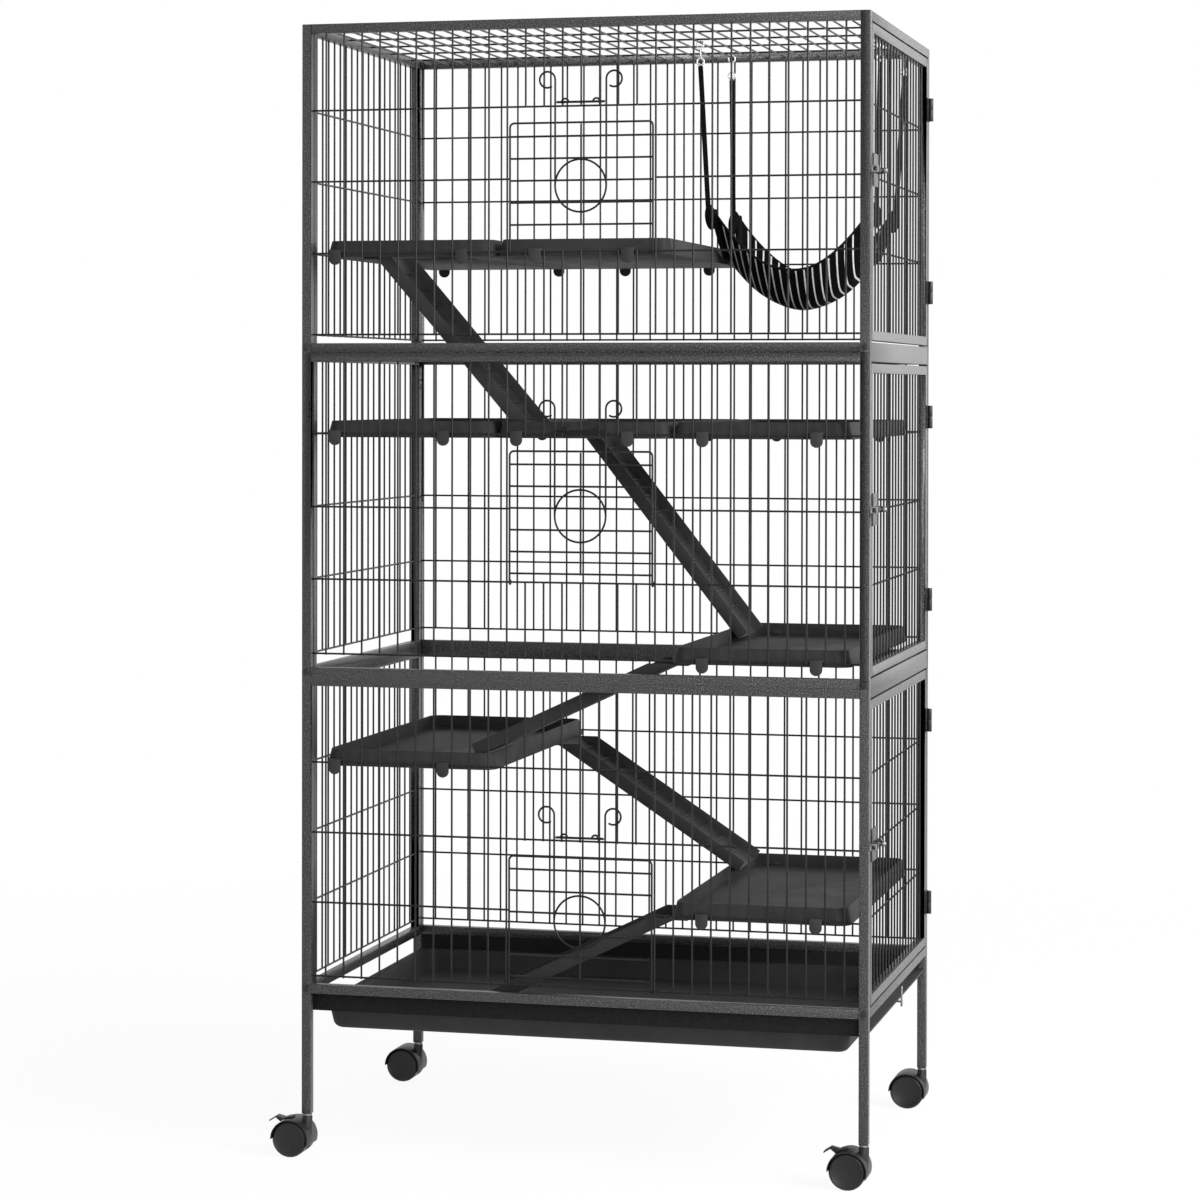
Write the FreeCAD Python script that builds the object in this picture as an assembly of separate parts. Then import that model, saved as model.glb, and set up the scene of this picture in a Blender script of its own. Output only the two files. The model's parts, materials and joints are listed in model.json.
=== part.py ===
import FreeCAD, Part
import os
from math import atan2, ceil, cos, floor, pi, radians, sin, sqrt

# Tall wire cage for small animals, on casters. Three framed tiers are stacked and bolted together.
# Millimetres. X is to the right, Y to the back and Z up. The origin is on the floor under the middle.

V = FreeCAD.Vector

# Frame of square steel tube
CAGE_WIDTH = 800.0
CAGE_DEPTH = 540.0
TUBE = 13.0
TUBE_WALL = 1.0
LEG_BOTTOM = 59.0
BODY_BOTTOM = 228.0
TIER_HEIGHTS = {"lower": 443.0, "middle": 452.0, "upper": 457.0}

# Welded wires, drawn with six flats so that crossing wires meet face to face
WIRE = 2.8
BAR_PITCH = 26.17
FIRST_WIRE_RISES = {"lower": 24.0, "middle": 32.0, "upper": 25.0}
WIRE_SHARES = {
    "lower": (0.245823, 0.479714, 0.713604),
    "middle": (0.247619, 0.488095, 0.730952),
    "upper": (0.261574, 0.493056, 0.722222),
}
WIRE_TAIL = 1.5
ROOF_CROSS_PITCH = 100.0

# Side doors, hinges and slide latches
DOOR_GAP = 2.5
DOOR_SWING_OFFSET = 4.5
HINGE_LENGTH = 34.0
HINGE_BARREL = 7.0
HINGE_PIN = 3.0
HINGE_CLEARANCE = 0.06
HINGE_TOP_DROP = 91.0
HINGE_LOW_RISES = {"lower": 80.0, "middle": 89.0, "upper": 94.0}
HINGE_LEAF = 10.0
LEAF_THICKNESS = 1.5
KNUCKLE_GAP = 0.4
LATCH_DROP = 212.0
LATCH_PLATE_LENGTH = 38.0
LATCH_PLATE_HEIGHT = 44.0
LATCH_BOLT = 5.0
LATCH_BOLT_LENGTH = 54.0
LATCH_TRAVEL = 15.0
LATCH_CLEARANCE = 0.08
LATCH_EYE_WALL = 1.5
LATCH_EYE_LENGTH = 7.0
LATCH_KNOB = 8.0
LATCH_KNOB_REACH = 7.0
KEEPER_BAR = 2.0
KEEPER_CLEARANCE = 0.2

# Small drop-down doors in the front panels, each with a spring wire catch
DOOR_OPENING_BARS = 4
SMALL_DOOR_TOP_GAP = 23.0
SMALL_DOOR_SIDE_GAP = 0.9
SMALL_DOOR_CORNER = 6.0
SMALL_DOOR_ROWS = 6
UPPER_DOOR_ROWS = 5
SMALL_DOOR_FIRST_DROP = 18.0
SMALL_DOOR_LAST_RISE = 12.0
UPPER_DOOR_LAST_RISE = 37.0
EYE_CLEARANCE = 0.06
EYE_OVERLAP = 0.8
CATCH_RING_RADIUS = 36.0
CATCH_RING_SHARE = 0.511
CATCH_ABOVE_HEAD = 48.0
CATCH_CURL_RADIUS = 11.0
CATCH_CURL_SWEEP = 270.0
KEEPER_RISE = 5.0
KEEPER_EYE_SLACK = 0.15
KEEPER_EYE_WIRE = 2.1
KEEPER_END_GAP = 0.4

# Moulded shelves
SHELVES_ACROSS = 3
SHELF_END_GAP = 15.0
SHELF_GAP = 1.5
SHELF_RIM_HEIGHT = 23.0
SHELF_TAPER = 5.0
SHELF_WALL = 2.5
SHELF_FLOOR = 3.0
SHELF_CORNER = 18.0
SHELF_WIRE_GAP = 3.9
SHELF_DROP = 5.0
TAB_WIDTH = 17.0
TAB_THICKNESS = 3.0
TAB_DROP = 11.0
TAB_REST_GAP = 0.2
TAB_HOOK_GAP = 0.4
RAMP_HOLE_LENGTH = 115.0
CUT_MARGIN = 1.0
UPPER_RAMP_INSET = 74.0
MIDDLE_RAMP_INSET = 35.5

# Moulded ramps
RAMP_WIDTH = 120.0
RAMP_WALL = 2.5
RAMP_WALL_HEIGHT = 18.0
RAMP_LIP = 20.0
RAMP_LIP_INSET = 2.0
RAMP_OVERHANG = 12.0
RAMP_PEG = 5.0
RAMP_PEG_CLEARANCE = 0.3
RAMP_PEG_INSET = 20.0
UPPER_RAMP_FOOT = 36.5
FOOT_RAMP_RUN = 265.0
RAMP_SEAT_GAP = 0.3
RAMP_TREAD_PITCH = 30.0
RAMP_TREAD = 3.0
RAMP_SIDE_GAP = 2.0
RAMP_BACK_INSET = 24.3
FOOT_RAMP_GAP = 9.0

# Pull-out pan and its runners
PAN_BOTTOM = 175.0
PAN_WALL = 3.0
PAN_FLANGE = 2.7
PAN_BODY_END_GAP = 28.0
PAN_TAPER = 6.0
PAN_CORNER = 16.0
PAN_RIM_CORNER = 8.0
PAN_LEFT_GAP = 15.0
PAN_RIGHT_GAP = 2.0
PAN_SIDE_GAP = 1.0
PAN_LIFT = 0.3
PAN_BODY_GAP = 1.0
RUNNER_SHEET = 2.0
RUNNER_DROP = 25.0
RUNNER_LEDGE = 12.0
CATCH_CLIP_WIRE = 2.8
CATCH_CLIP_OUT = 2.5
CATCH_CLIP_Y = 5.0
CATCH_CLIP_DROP = 8.3
CATCH_CLIP_TOP_GAP = 2.0
CATCH_CLIP_FOOT = 14.0

# Hammock on four straps
HAMMOCK_SHELF_LAP = 7.5
HAMMOCK_END_GAP = 33.0
HAMMOCK_BACK_GAP = 35.0
HAMMOCK_BREADTH = 182.0
HAMMOCK_DROP = 245.0
HAMMOCK_STRAP_LEAN = 8.0
HAMMOCK_SAG = 92.0
HAMMOCK_BELLY = 54.0
HAMMOCK_END_BELLY = 70.0
HAMMOCK_END_LEAN = 1 / 7
HAMMOCK_CLOTH = 3.0
HAMMOCK_STATIONS = 9
HAMMOCK_FOLDS = 8
STRAP_INSET = 1.5
STRAP_SPREAD = 20.0
STRAP_LAP = 4.0
STRAP_WIDTH = 7.0
STRAP_THICKNESS = 1.8
SNAP_RING_INNER = 4.0
SNAP_RING_WIRE = 2.4
SNAP_LENGTH = 25.0
SNAP_THICKNESS = 3.0
SNAP_GAP = 0.3

# Twin-wheel casters
WHEEL_RADIUS = 25.0
WHEEL_WIDTH = 18.0
WHEEL_EDGE = 3.0
WHEEL_DISH = 2.0
CASTER_TRAIL = 20.0
CASTER_WEB = 7.0
CASTER_SIDE_GAP = 0.8
CASTER_HUB = 8.0
CASTER_AXLE = 6.0
AXLE_CLEARANCE = 0.06
HOOD_GAP = 0.8
HOOD_WALL = 1.4
HOOD_WIDTH = 46.0
HOOD_BACK_DROP = 9.0
STEM = 10.0
STEM_ENTRY = 36.0
BOSS_RADIUS = 7.0
COLLAR_RADIUS = 6.4
COLLAR_HEIGHT = 3.6
COLLAR_GAP = 0.3
COLLAR_CLEARANCE = 0.06
BRAKE_GAP = 0.4
BRAKE_PLATE = 2.2
BRAKE_WIDTH = 16.0
BRAKE_START = 90.0
BRAKE_END = 126.0
BRAKE_TAIL = 17.0
BRAKE_TAIL_LAP = 12.0
BRAKE_TAIL_RISE = 6.0
BRAKE_TAIL_CREST = 0.45

# Fasteners on the posts
BOLT_ACROSS_FLATS = 8.0
BOLT_HEAD = 3.0

half_width = CAGE_WIDTH / 2
half_depth = CAGE_DEPTH / 2
inner_x = half_width - TUBE
inner_y = half_depth - TUBE
wire_corner = WIRE / 2 / cos(pi / 6)
upright_y = half_depth - TUBE / 2 + WIRE / 2
cross_y = half_depth - TUBE / 2 - WIRE / 2
upright_x = half_width - TUBE / 2 + WIRE / 2
cross_x = half_width - TUBE / 2 - WIRE / 2
shelf_room = 2 * (inner_x - SHELF_END_GAP)
shelf_width = (shelf_room - (SHELVES_ACROSS - 1) * SHELF_GAP) / SHELVES_ACROSS
shelf_pitch = shelf_width + SHELF_GAP

tier_bottom = {}
tier_top = {}
level = BODY_BOTTOM
for tier, height in TIER_HEIGHTS.items():
    tier_bottom[tier] = level
    level += height
    tier_top[tier] = level
cage_top = level

nodes = {}


def save(node, solids):
    """Keep one node, made of one or more separate solids, until all can be centred together."""
    flat = []
    for item in solids:
        flat.extend(item.Solids)
    nodes[node] = Part.makeCompound(flat)


def box(x0, x1, y0, y1, z0, z1):
    return Part.makeBox(x1 - x0, y1 - y0, z1 - z0, V(x0, y0, z0))


def polygon(points):
    return Part.makePolygon(points + points[:1])


def hexagon(centre, flat_axis, other_axis, across):
    """Six-sided wire section with two flats square to flat_axis."""
    radius = across / 2 / cos(pi / 6)
    corners = []
    for step in range(6):
        angle = pi / 6 + step * pi / 3
        corners.append(centre + flat_axis * (radius * cos(angle)) + other_axis * (radius * sin(angle)))
    return Part.Face(polygon(corners))


def wire_rod(start, end, flat_axis, across=WIRE):
    run = end - start
    other_axis = run.cross(flat_axis)
    other_axis.normalize()
    return hexagon(start, flat_axis, other_axis, across).extrude(run)


X_AXIS = V(1, 0, 0)
Y_AXIS = V(0, 1, 0)
Z_AXIS = V(0, 0, 1)


def round_rod(start, end):
    run = end - start
    return Part.makeCylinder(WIRE / 2, run.Length, start, run)


def square_tube(start, end, cap=0.0):
    """Hollow square tube along one axis from start to end; cap closes the far end with that thickness."""
    run = end - start
    half = V(TUBE, TUBE, TUBE) * 0.5
    bore = TUBE / 2 - TUBE_WALL
    along = V(abs(run.x), abs(run.y), abs(run.z))
    along.normalize()
    low = V(min(start.x, end.x), min(start.y, end.y), min(start.z, end.z))
    high = V(max(start.x, end.x), max(start.y, end.y), max(start.z, end.z))
    across = V(1 - along.x, 1 - along.y, 1 - along.z)
    outer_low = low - V(half.x * across.x, half.y * across.y, half.z * across.z)
    outer_high = high + V(half.x * across.x, half.y * across.y, half.z * across.z)
    inner_low = low - across * bore
    inner_high = high + across * bore - along * cap
    outer = box(outer_low.x, outer_high.x, outer_low.y, outer_high.y, outer_low.z, outer_high.z)
    inner = box(inner_low.x, inner_high.x, inner_low.y, inner_high.y, inner_low.z, inner_high.z)
    return outer.cut(inner)


def rounded_rectangle(x0, x1, y0, y1, z, radius):
    """Closed outline of four straight sides and four corner arcs."""
    diagonal = radius * (1 - sqrt(0.5))
    edges = [
        Part.LineSegment(V(x0 + radius, y0, z), V(x1 - radius, y0, z)),
        Part.Arc(V(x1 - radius, y0, z), V(x1 - diagonal, y0 + diagonal, z), V(x1, y0 + radius, z)),
        Part.LineSegment(V(x1, y0 + radius, z), V(x1, y1 - radius, z)),
        Part.Arc(V(x1, y1 - radius, z), V(x1 - diagonal, y1 - diagonal, z), V(x1 - radius, y1, z)),
        Part.LineSegment(V(x1 - radius, y1, z), V(x0 + radius, y1, z)),
        Part.Arc(V(x0 + radius, y1, z), V(x0 + diagonal, y1 - diagonal, z), V(x0, y1 - radius, z)),
        Part.LineSegment(V(x0, y1 - radius, z), V(x0, y0 + radius, z)),
        Part.Arc(V(x0, y0 + radius, z), V(x0 + diagonal, y0 + diagonal, z), V(x0 + radius, y0, z)),
    ]
    return Part.Wire([edge.toShape() for edge in edges])


def tapered_block(low, high):
    """Solid between two rounded rectangles, each given as (x0, x1, y0, y1, z, radius)."""
    return Part.makeLoft([rounded_rectangle(*low), rounded_rectangle(*high)], True, True)


# Wire heights in a tier: the bottom wire, then the cross wires from low to high
def cross_heights(tier):
    first = tier_bottom[tier] + FIRST_WIRE_RISES[tier]
    room = tier_top[tier] - first
    return [first] + [first + share * room for share in WIRE_SHARES[tier]]


# The small door hangs on one cross wire and latches at the next but one above it
def door_wires(tier):
    heights = cross_heights(tier)
    if tier == "lower":
        return heights[0], heights[1], heights[2]
    return heights[1], heights[2], heights[3]


# Frames of the four sides
def flat_frame(tier, side):
    """Two uprights and two rails of the front or back panel; the lowest uprights run down as legs."""
    y = side * (half_depth - TUBE / 2)
    foot = LEG_BOTTOM if tier == "lower" else tier_bottom[tier]
    cap = TUBE_WALL if tier == "upper" else 0.0
    tubes = []
    for x in (-half_width + TUBE / 2, half_width - TUBE / 2):
        tubes.append(square_tube(V(x, y, foot), V(x, y, tier_top[tier]), cap))
    for z in (tier_bottom[tier] + TUBE / 2, tier_top[tier] - TUBE / 2):
        tubes.append(square_tube(V(-inner_x, y, z), V(inner_x, y, z)))
    return tubes


for side_name, side in (("front", -1), ("back", 1)):
    tubes = []
    for tier in TIER_HEIGHTS:
        tubes.extend(flat_frame(tier, side))
    save(side_name + "_frame", tubes)

left_tubes = []
right_tubes = []
for tier in TIER_HEIGHTS:
    rail_heights = (tier_bottom[tier] + TUBE / 2, tier_top[tier] - TUBE / 2)
    x = half_width - TUBE / 2
    cap = TUBE_WALL if tier == "upper" else 0.0
    for y in (-inner_y + TUBE / 2, inner_y - TUBE / 2):
        left_tubes.append(square_tube(V(-x, y, tier_bottom[tier]), V(-x, y, tier_top[tier]), cap))
    for z in rail_heights:
        left_tubes.append(square_tube(V(-x, -inner_y + TUBE, z), V(-x, inner_y - TUBE, z)))
        right_tubes.append(square_tube(V(x, -inner_y, z), V(x, inner_y, z)))
save("left_frame", left_tubes)

save("right_frame", right_tubes)

# Wires of the front and back panels
bars_each_side = int((inner_x - WIRE) / BAR_PITCH)


def upright(x, side, z0, z1):
    y = side * upright_y
    return wire_rod(V(x, y, z0), V(x, y, z1), Y_AXIS)


def cross_wire(x0, x1, side, z):
    y = side * cross_y
    return wire_rod(V(x0, y, z), V(x1, y, z), Y_AXIS)


def panel_wires(tier, side, opening):
    bottom_wire = cross_heights(tier)[0]
    foot = bottom_wire - WIRE_TAIL
    top = tier_top[tier] - TUBE
    hinge_z, middle_z, head_z = door_wires(tier)
    opening_x = DOOR_OPENING_BARS * BAR_PITCH
    rods = []
    for bar in range(-bars_each_side, bars_each_side + 1):
        x = bar * BAR_PITCH
        if opening and abs(bar) < DOOR_OPENING_BARS:
            rods.append(upright(x, side, head_z - WIRE_TAIL, top))
            if hinge_z > bottom_wire:
                rods.append(upright(x, side, foot, hinge_z + WIRE_TAIL))
        else:
            rods.append(upright(x, side, foot, top))
    for z in cross_heights(tier):
        y = side * cross_y
        if opening and z == hinge_z:
            rods.append(round_rod(V(-inner_x, y, z), V(inner_x, y, z)))
        elif opening and z == middle_z:
            rods.append(cross_wire(-inner_x, -opening_x + wire_corner, side, z))
            rods.append(cross_wire(opening_x - wire_corner, inner_x, side, z))
        else:
            rods.append(cross_wire(-inner_x, inner_x, side, z))
    return rods


front_rods = []
back_rods = []
for tier in TIER_HEIGHTS:
    front_rods.extend(panel_wires(tier, -1, True))
    back_rods.extend(panel_wires(tier, 1, False))
save("front_wires", front_rods)
save("back_wires", back_rods)


# Wires of a panel in a left or right frame
def side_wires(side, y_limit, foot, top, cross_wires):
    half_bars = int((y_limit - WIRE) / BAR_PITCH + 0.5)
    rods = []
    for bar in range(-half_bars, half_bars):
        y = (bar + 0.5) * BAR_PITCH
        x = side * upright_x
        rods.append(wire_rod(V(x, y, foot), V(x, y, top), X_AXIS))
    for z in cross_wires:
        x = side * cross_x
        rods.append(wire_rod(V(x, -y_limit, z), V(x, y_limit, z), X_AXIS))
    return rods


left_rods = []
for tier in TIER_HEIGHTS:
    heights = cross_heights(tier)
    left_rods.extend(side_wires(-1, inner_y - TUBE, heights[0] - WIRE_TAIL, tier_top[tier] - TUBE, heights))
save("left_wires", left_rods)

# Wire roof between the top rails
roof_z = cage_top - TUBE / 2
roof_rods = []
for bar in range(-bars_each_side, bars_each_side + 1):
    x = bar * BAR_PITCH
    z = roof_z - WIRE / 2
    roof_rods.append(wire_rod(V(x, -inner_y, z), V(x, inner_y, z), Z_AXIS))
roof_crosses = int(inner_y / ROOF_CROSS_PITCH)
for row in range(-roof_crosses, roof_crosses + 1):
    y = row * ROOF_CROSS_PITCH
    z = roof_z + WIRE / 2
    roof_rods.append(wire_rod(V(-inner_x, y, z), V(inner_x, y, z), Z_AXIS))
save("roof_wires", roof_rods)

# Side doors: a tube frame with wires, two hinges and a slide latch each
door_y = inner_y - DOOR_GAP
hinge_x = half_width + DOOR_SWING_OFFSET
hinge_y = inner_y - DOOR_GAP / 5
barrel_radius = HINGE_BARREL / 2
latch_x = half_width + LEAF_THICKNESS + LATCH_EYE_WALL + LATCH_BOLT / 2
latch_plate_front = -door_y + LATCH_CLEARANCE + 2 * LATCH_EYE_WALL


def hinge_heights(tier):
    return tier_top[tier] - HINGE_TOP_DROP, tier_bottom[tier] + HINGE_LOW_RISES[tier]


def hinge_leaf(z, side, pinned):
    """One leaf with its half of the barrel. The pinned leaf is on the post and carries the pin."""
    half = HINGE_LENGTH / 2
    if pinned:
        barrel_low = z - half
        barrel_high = z - KNUCKLE_GAP / 2
    else:
        barrel_low = z + KNUCKLE_GAP / 2
        barrel_high = z + half
    barrel_base = V(hinge_x, hinge_y, barrel_low)
    leaf = Part.makeCylinder(barrel_radius, barrel_high - barrel_low, barrel_base)
    near = hinge_y + side * (barrel_radius + KNUCKLE_GAP)
    far = near + side * (HINGE_LEAF - barrel_radius)
    x0 = half_width
    x1 = half_width + LEAF_THICKNESS
    plate = box(x0, x1, min(near, far), max(near, far), z - half, z + half)
    tongue = box(x0 + LEAF_THICKNESS / 2, x1, min(hinge_y, far), max(hinge_y, far), barrel_low, barrel_high)
    leaf = leaf.fuse([plate, tongue])
    if pinned:
        pin = Part.makeCylinder(HINGE_PIN / 2, HINGE_LENGTH, V(hinge_x, hinge_y, z - half))
        return leaf.fuse(pin).removeSplitter()
    bore = Part.makeCylinder(HINGE_PIN / 2 + HINGE_CLEARANCE, HINGE_LENGTH, V(hinge_x, hinge_y, z - half))
    return leaf.cut(bore).removeSplitter()


def latch_height(tier):
    return tier_top[tier] - LATCH_DROP


def bolt_eye(y0, y1, z):
    """A square eye on the outside face with a round bore for the sliding bolt."""
    reach = LATCH_BOLT / 2 + LATCH_EYE_WALL
    block = box(half_width + LEAF_THICKNESS, latch_x + reach, y0, y1, z - reach, z + reach)
    bore = Part.makeCylinder(LATCH_BOLT / 2 + LATCH_CLEARANCE, y1 - y0, V(latch_x, y0, z), Y_AXIS)
    return block.cut(bore)


def latch_plate(tier):
    z = latch_height(tier)
    y0 = latch_plate_front
    y1 = y0 + LATCH_PLATE_LENGTH
    half = LATCH_PLATE_HEIGHT / 2
    plate = box(half_width, half_width + LEAF_THICKNESS, y0, y1, z - half, z + half)
    eyes = [bolt_eye(y0, y0 + LATCH_EYE_LENGTH, z), bolt_eye(y1 - LATCH_EYE_LENGTH, y1, z)]
    return plate.fuse(eyes).removeSplitter()


def latch_bolt(tier):
    """Round bolt, stored drawn back, with a knob in the middle."""
    z = latch_height(tier)
    tip = latch_plate_front
    rod = Part.makeCylinder(LATCH_BOLT / 2, LATCH_BOLT_LENGTH, V(latch_x, tip, z), Y_AXIS)
    knob_y = tip + LATCH_PLATE_LENGTH / 2 + LATCH_TRAVEL / 2
    neck_start = V(latch_x, knob_y, z)
    neck = Part.makeCylinder(LATCH_BOLT / 2 - LATCH_CLEARANCE, LATCH_KNOB_REACH, neck_start, X_AXIS)
    grip_start = neck_start + X_AXIS * (LATCH_KNOB_REACH - LATCH_KNOB / 4)
    grip = Part.makeCylinder(LATCH_KNOB / 2, LATCH_KNOB / 2, grip_start, X_AXIS)
    tip_start = grip_start + X_AXIS * (LATCH_KNOB / 2)
    knob_end = Part.makeCone(LATCH_KNOB / 2, LATCH_KNOB / 3, LATCH_KNOB / 4, tip_start, X_AXIS)
    return rod.fuse([neck, grip, knob_end]).removeSplitter()


def latch_keeper(tier):
    """Staple on the front post, folded from four strips round the way of the bolt."""
    z = latch_height(tier)
    y0 = -half_depth + LATCH_EYE_WALL
    y1 = y0 + LATCH_EYE_LENGTH
    room = LATCH_BOLT / 2 + KEEPER_CLEARANCE
    reach = room + KEEPER_BAR
    return [
        box(half_width, latch_x - room, y0, y1, z - reach, z + reach),
        box(latch_x + room, latch_x + reach, y0, y1, z - reach, z + reach),
        box(latch_x - room, latch_x + room, y0, y1, z - reach, z - room),
        box(latch_x - room, latch_x + room, y0, y1, z + room, z + reach),
    ]


post_leaves = []
keepers = []
for tier in TIER_HEIGHTS:
    low = tier_bottom[tier] + TUBE + DOOR_GAP
    high = tier_top[tier] - TUBE - DOOR_GAP
    x = half_width - TUBE / 2
    stile_y = door_y - TUBE / 2
    tubes = []
    for y in (-stile_y, stile_y):
        tubes.append(square_tube(V(x, y, low), V(x, y, high)))
    for z in (low + TUBE / 2, high - TUBE / 2):
        tubes.append(square_tube(V(x, -door_y + TUBE, z), V(x, door_y - TUBE, z)))
    save(tier + "_door_frame", tubes)
    crosses = cross_heights(tier)[1:]
    save(tier + "_door_wires", side_wires(1, door_y - TUBE, low + TUBE, high - TUBE, crosses))
    hardware = [latch_plate(tier)]
    for z in hinge_heights(tier):
        hardware.append(hinge_leaf(z, -1, False))
        post_leaves.append(hinge_leaf(z, 1, True))
    save(tier + "_door_hardware", hardware)
    save(tier + "_latch_bolt", [latch_bolt(tier)])
    keepers.extend(latch_keeper(tier))
save("hinge_post_leaves", post_leaves)
save("latch_keepers", keepers)

# Small drop-down doors: bent wire frames that turn on a wire of the front panel
eye_inner = WIRE / 2 + EYE_CLEARANCE
eye_outer = eye_inner + WIRE
small_door_x = DOOR_OPENING_BARS * BAR_PITCH - 2 * wire_corner - SMALL_DOOR_SIDE_GAP
small_door_y = -(cross_y + (eye_inner + eye_outer) / 2)
catch_y = small_door_y - WIRE
arm_x = CATCH_RING_RADIUS


def small_door(tier):
    hinge_z, middle_z, head_z = door_wires(tier)
    hinge_line = V(0, -cross_y, hinge_z)
    top = head_z - SMALL_DOOR_TOP_GAP
    rods = []
    for side in (-1, 1):
        x = side * small_door_x
        foot = hinge_z + EYE_OVERLAP
        rod = wire_rod(V(x, small_door_y, foot), V(x, small_door_y, top - SMALL_DOOR_CORNER), Y_AXIS)
        eye_start = hinge_line + V(x - WIRE / 2, 0, 0)
        eye = Part.makeCylinder(eye_outer, WIRE, eye_start, X_AXIS)
        bore = Part.makeCylinder(eye_inner, WIRE, eye_start, X_AXIS)
        rods.append(rod.fuse(eye).cut(bore).removeSplitter())
    corner_x = small_door_x - SMALL_DOOR_CORNER
    for side in (-1, 1):
        section = hexagon(V(side * small_door_x, small_door_y, top - SMALL_DOOR_CORNER), Y_AXIS, X_AXIS, WIRE)
        pivot = V(side * corner_x, small_door_y, top - SMALL_DOOR_CORNER)
        rods.append(section.revolve(pivot, Y_AXIS * -side, 90))
    rods.append(wire_rod(V(-corner_x, small_door_y, top), V(corner_x, small_door_y, top), Y_AXIS))
    first = top - SMALL_DOOR_FIRST_DROP
    cross_line = small_door_y + WIRE
    rows = UPPER_DOOR_ROWS if tier == "upper" else SMALL_DOOR_ROWS
    last = hinge_z + (UPPER_DOOR_LAST_RISE if tier == "upper" else SMALL_DOOR_LAST_RISE)
    for row in range(rows):
        z = first + (last - first) * row / (rows - 1)
        rods.append(wire_rod(V(-small_door_x, cross_line, z), V(small_door_x, cross_line, z), Y_AXIS))
    rods.append(wire_rod(V(0, small_door_y, z - WIRE_TAIL), V(0, small_door_y, top - wire_corner), Y_AXIS))
    return rods


def catch_spring(tier):
    """One spring wire: a ring, two arms beside it and a curled finger grip at the top of each arm."""
    hinge_z, middle_z, head_z = door_wires(tier)
    ring_z = hinge_z + CATCH_RING_SHARE * (head_z - SMALL_DOOR_TOP_GAP - hinge_z)
    curl_z = head_z + CATCH_ABOVE_HEAD - CATCH_CURL_RADIUS - WIRE / 2
    centre = V(0, catch_y, ring_z)
    ring = hexagon(centre + V(CATCH_RING_RADIUS, 0, 0), Y_AXIS, X_AXIS, WIRE).revolve(centre, Y_AXIS, 360)
    pieces = []
    for side in (-1, 1):
        x = side * arm_x
        pieces.append(wire_rod(V(x, catch_y, ring_z + WIRE), V(x, catch_y, curl_z), Y_AXIS))
        section = hexagon(V(x, catch_y, curl_z), Y_AXIS, X_AXIS, WIRE)
        pivot = V(x + side * CATCH_CURL_RADIUS, catch_y, curl_z)
        pieces.append(section.revolve(pivot, Y_AXIS * side, CATCH_CURL_SWEEP))
    return ring.fuse(pieces).removeSplitter()


def keeper_bar(tier):
    """Short bar hung by two eyes on the bars beside the middle one; the spring's arms snap past its ends."""
    z = door_wires(tier)[2] + KEEPER_RISE
    y = -upright_y - WIRE
    reach = arm_x - wire_corner - KEEPER_END_GAP
    bar = wire_rod(V(-reach, y, z), V(reach, y, z), Y_AXIS)
    eyes = []
    for side in (-1, 1):
        base = V(side * BAR_PITCH, -upright_y, z - WIRE / 2)
        room = wire_corner + KEEPER_EYE_SLACK
        eye = Part.makeCylinder(room + KEEPER_EYE_WIRE, WIRE, base)
        eyes.append(eye.cut(Part.makeCylinder(room, WIRE, base)))
    return bar.fuse(eyes).removeSplitter()


for tier in TIER_HEIGHTS:
    save(tier + "_small_door", small_door(tier))
    save(tier + "_catch_spring", [catch_spring(tier)])
save("catch_keepers", [keeper_bar(tier) for tier in TIER_HEIGHTS])

# Shelves: shallow moulded trays whose tabs hook over cross wires at the front and the back
shelf_half_depth = cross_y - WIRE / 2 - SHELF_WIRE_GAP


def tab_gap(shelf_x, share):
    """Middle of the gap between bars for a tab, at or just inside a share of the width from the middle."""
    place = (shelf_x + share * shelf_width) / BAR_PITCH - 0.5
    index = ceil(place) if share < 0 else floor(place)
    return (index + 0.5) * BAR_PITCH


def hook_tab(x, side, wire_z, base_z):
    """Round-ended tongue outside the panel, joined to the shelf's wall by a bridge over the wire."""
    bridge_low = wire_z + wire_corner + TAB_REST_GAP
    bridge_high = bridge_low + TAB_THICKNESS
    near = cross_y + WIRE / 2 + TAB_HOOK_GAP
    far = near + TAB_THICKNESS
    root = shelf_half_depth - SHELF_TAPER
    radius = TAB_WIDTH / 2
    tip = base_z - TAB_DROP
    outline = [
        Part.LineSegment(V(x - radius, side * near, tip + radius), V(x - radius, side * near, bridge_high)),
        Part.LineSegment(V(x - radius, side * near, bridge_high), V(x + radius, side * near, bridge_high)),
        Part.LineSegment(V(x + radius, side * near, bridge_high), V(x + radius, side * near, tip + radius)),
        Part.Arc(
            V(x + radius, side * near, tip + radius),
            V(x, side * near, tip),
            V(x - radius, side * near, tip + radius),
        ),
    ]
    tongue = Part.Face(Part.Wire([edge.toShape() for edge in outline])).extrude(V(0, side * (far - near), 0))
    y0 = min(side * root, side * far)
    y1 = max(side * root, side * far)
    bridge = box(x - radius, x + radius, y0, y1, bridge_low, bridge_high)
    return tongue.fuse(bridge).removeSplitter()


def shelf_outline(x, z, rise, inset, radius):
    lean = SHELF_TAPER * rise / SHELF_RIM_HEIGHT + inset
    half_x = shelf_width / 2 - lean
    half_y = shelf_half_depth - lean
    return x - half_x, x + half_x, -half_y, half_y, z + rise, radius


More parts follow.
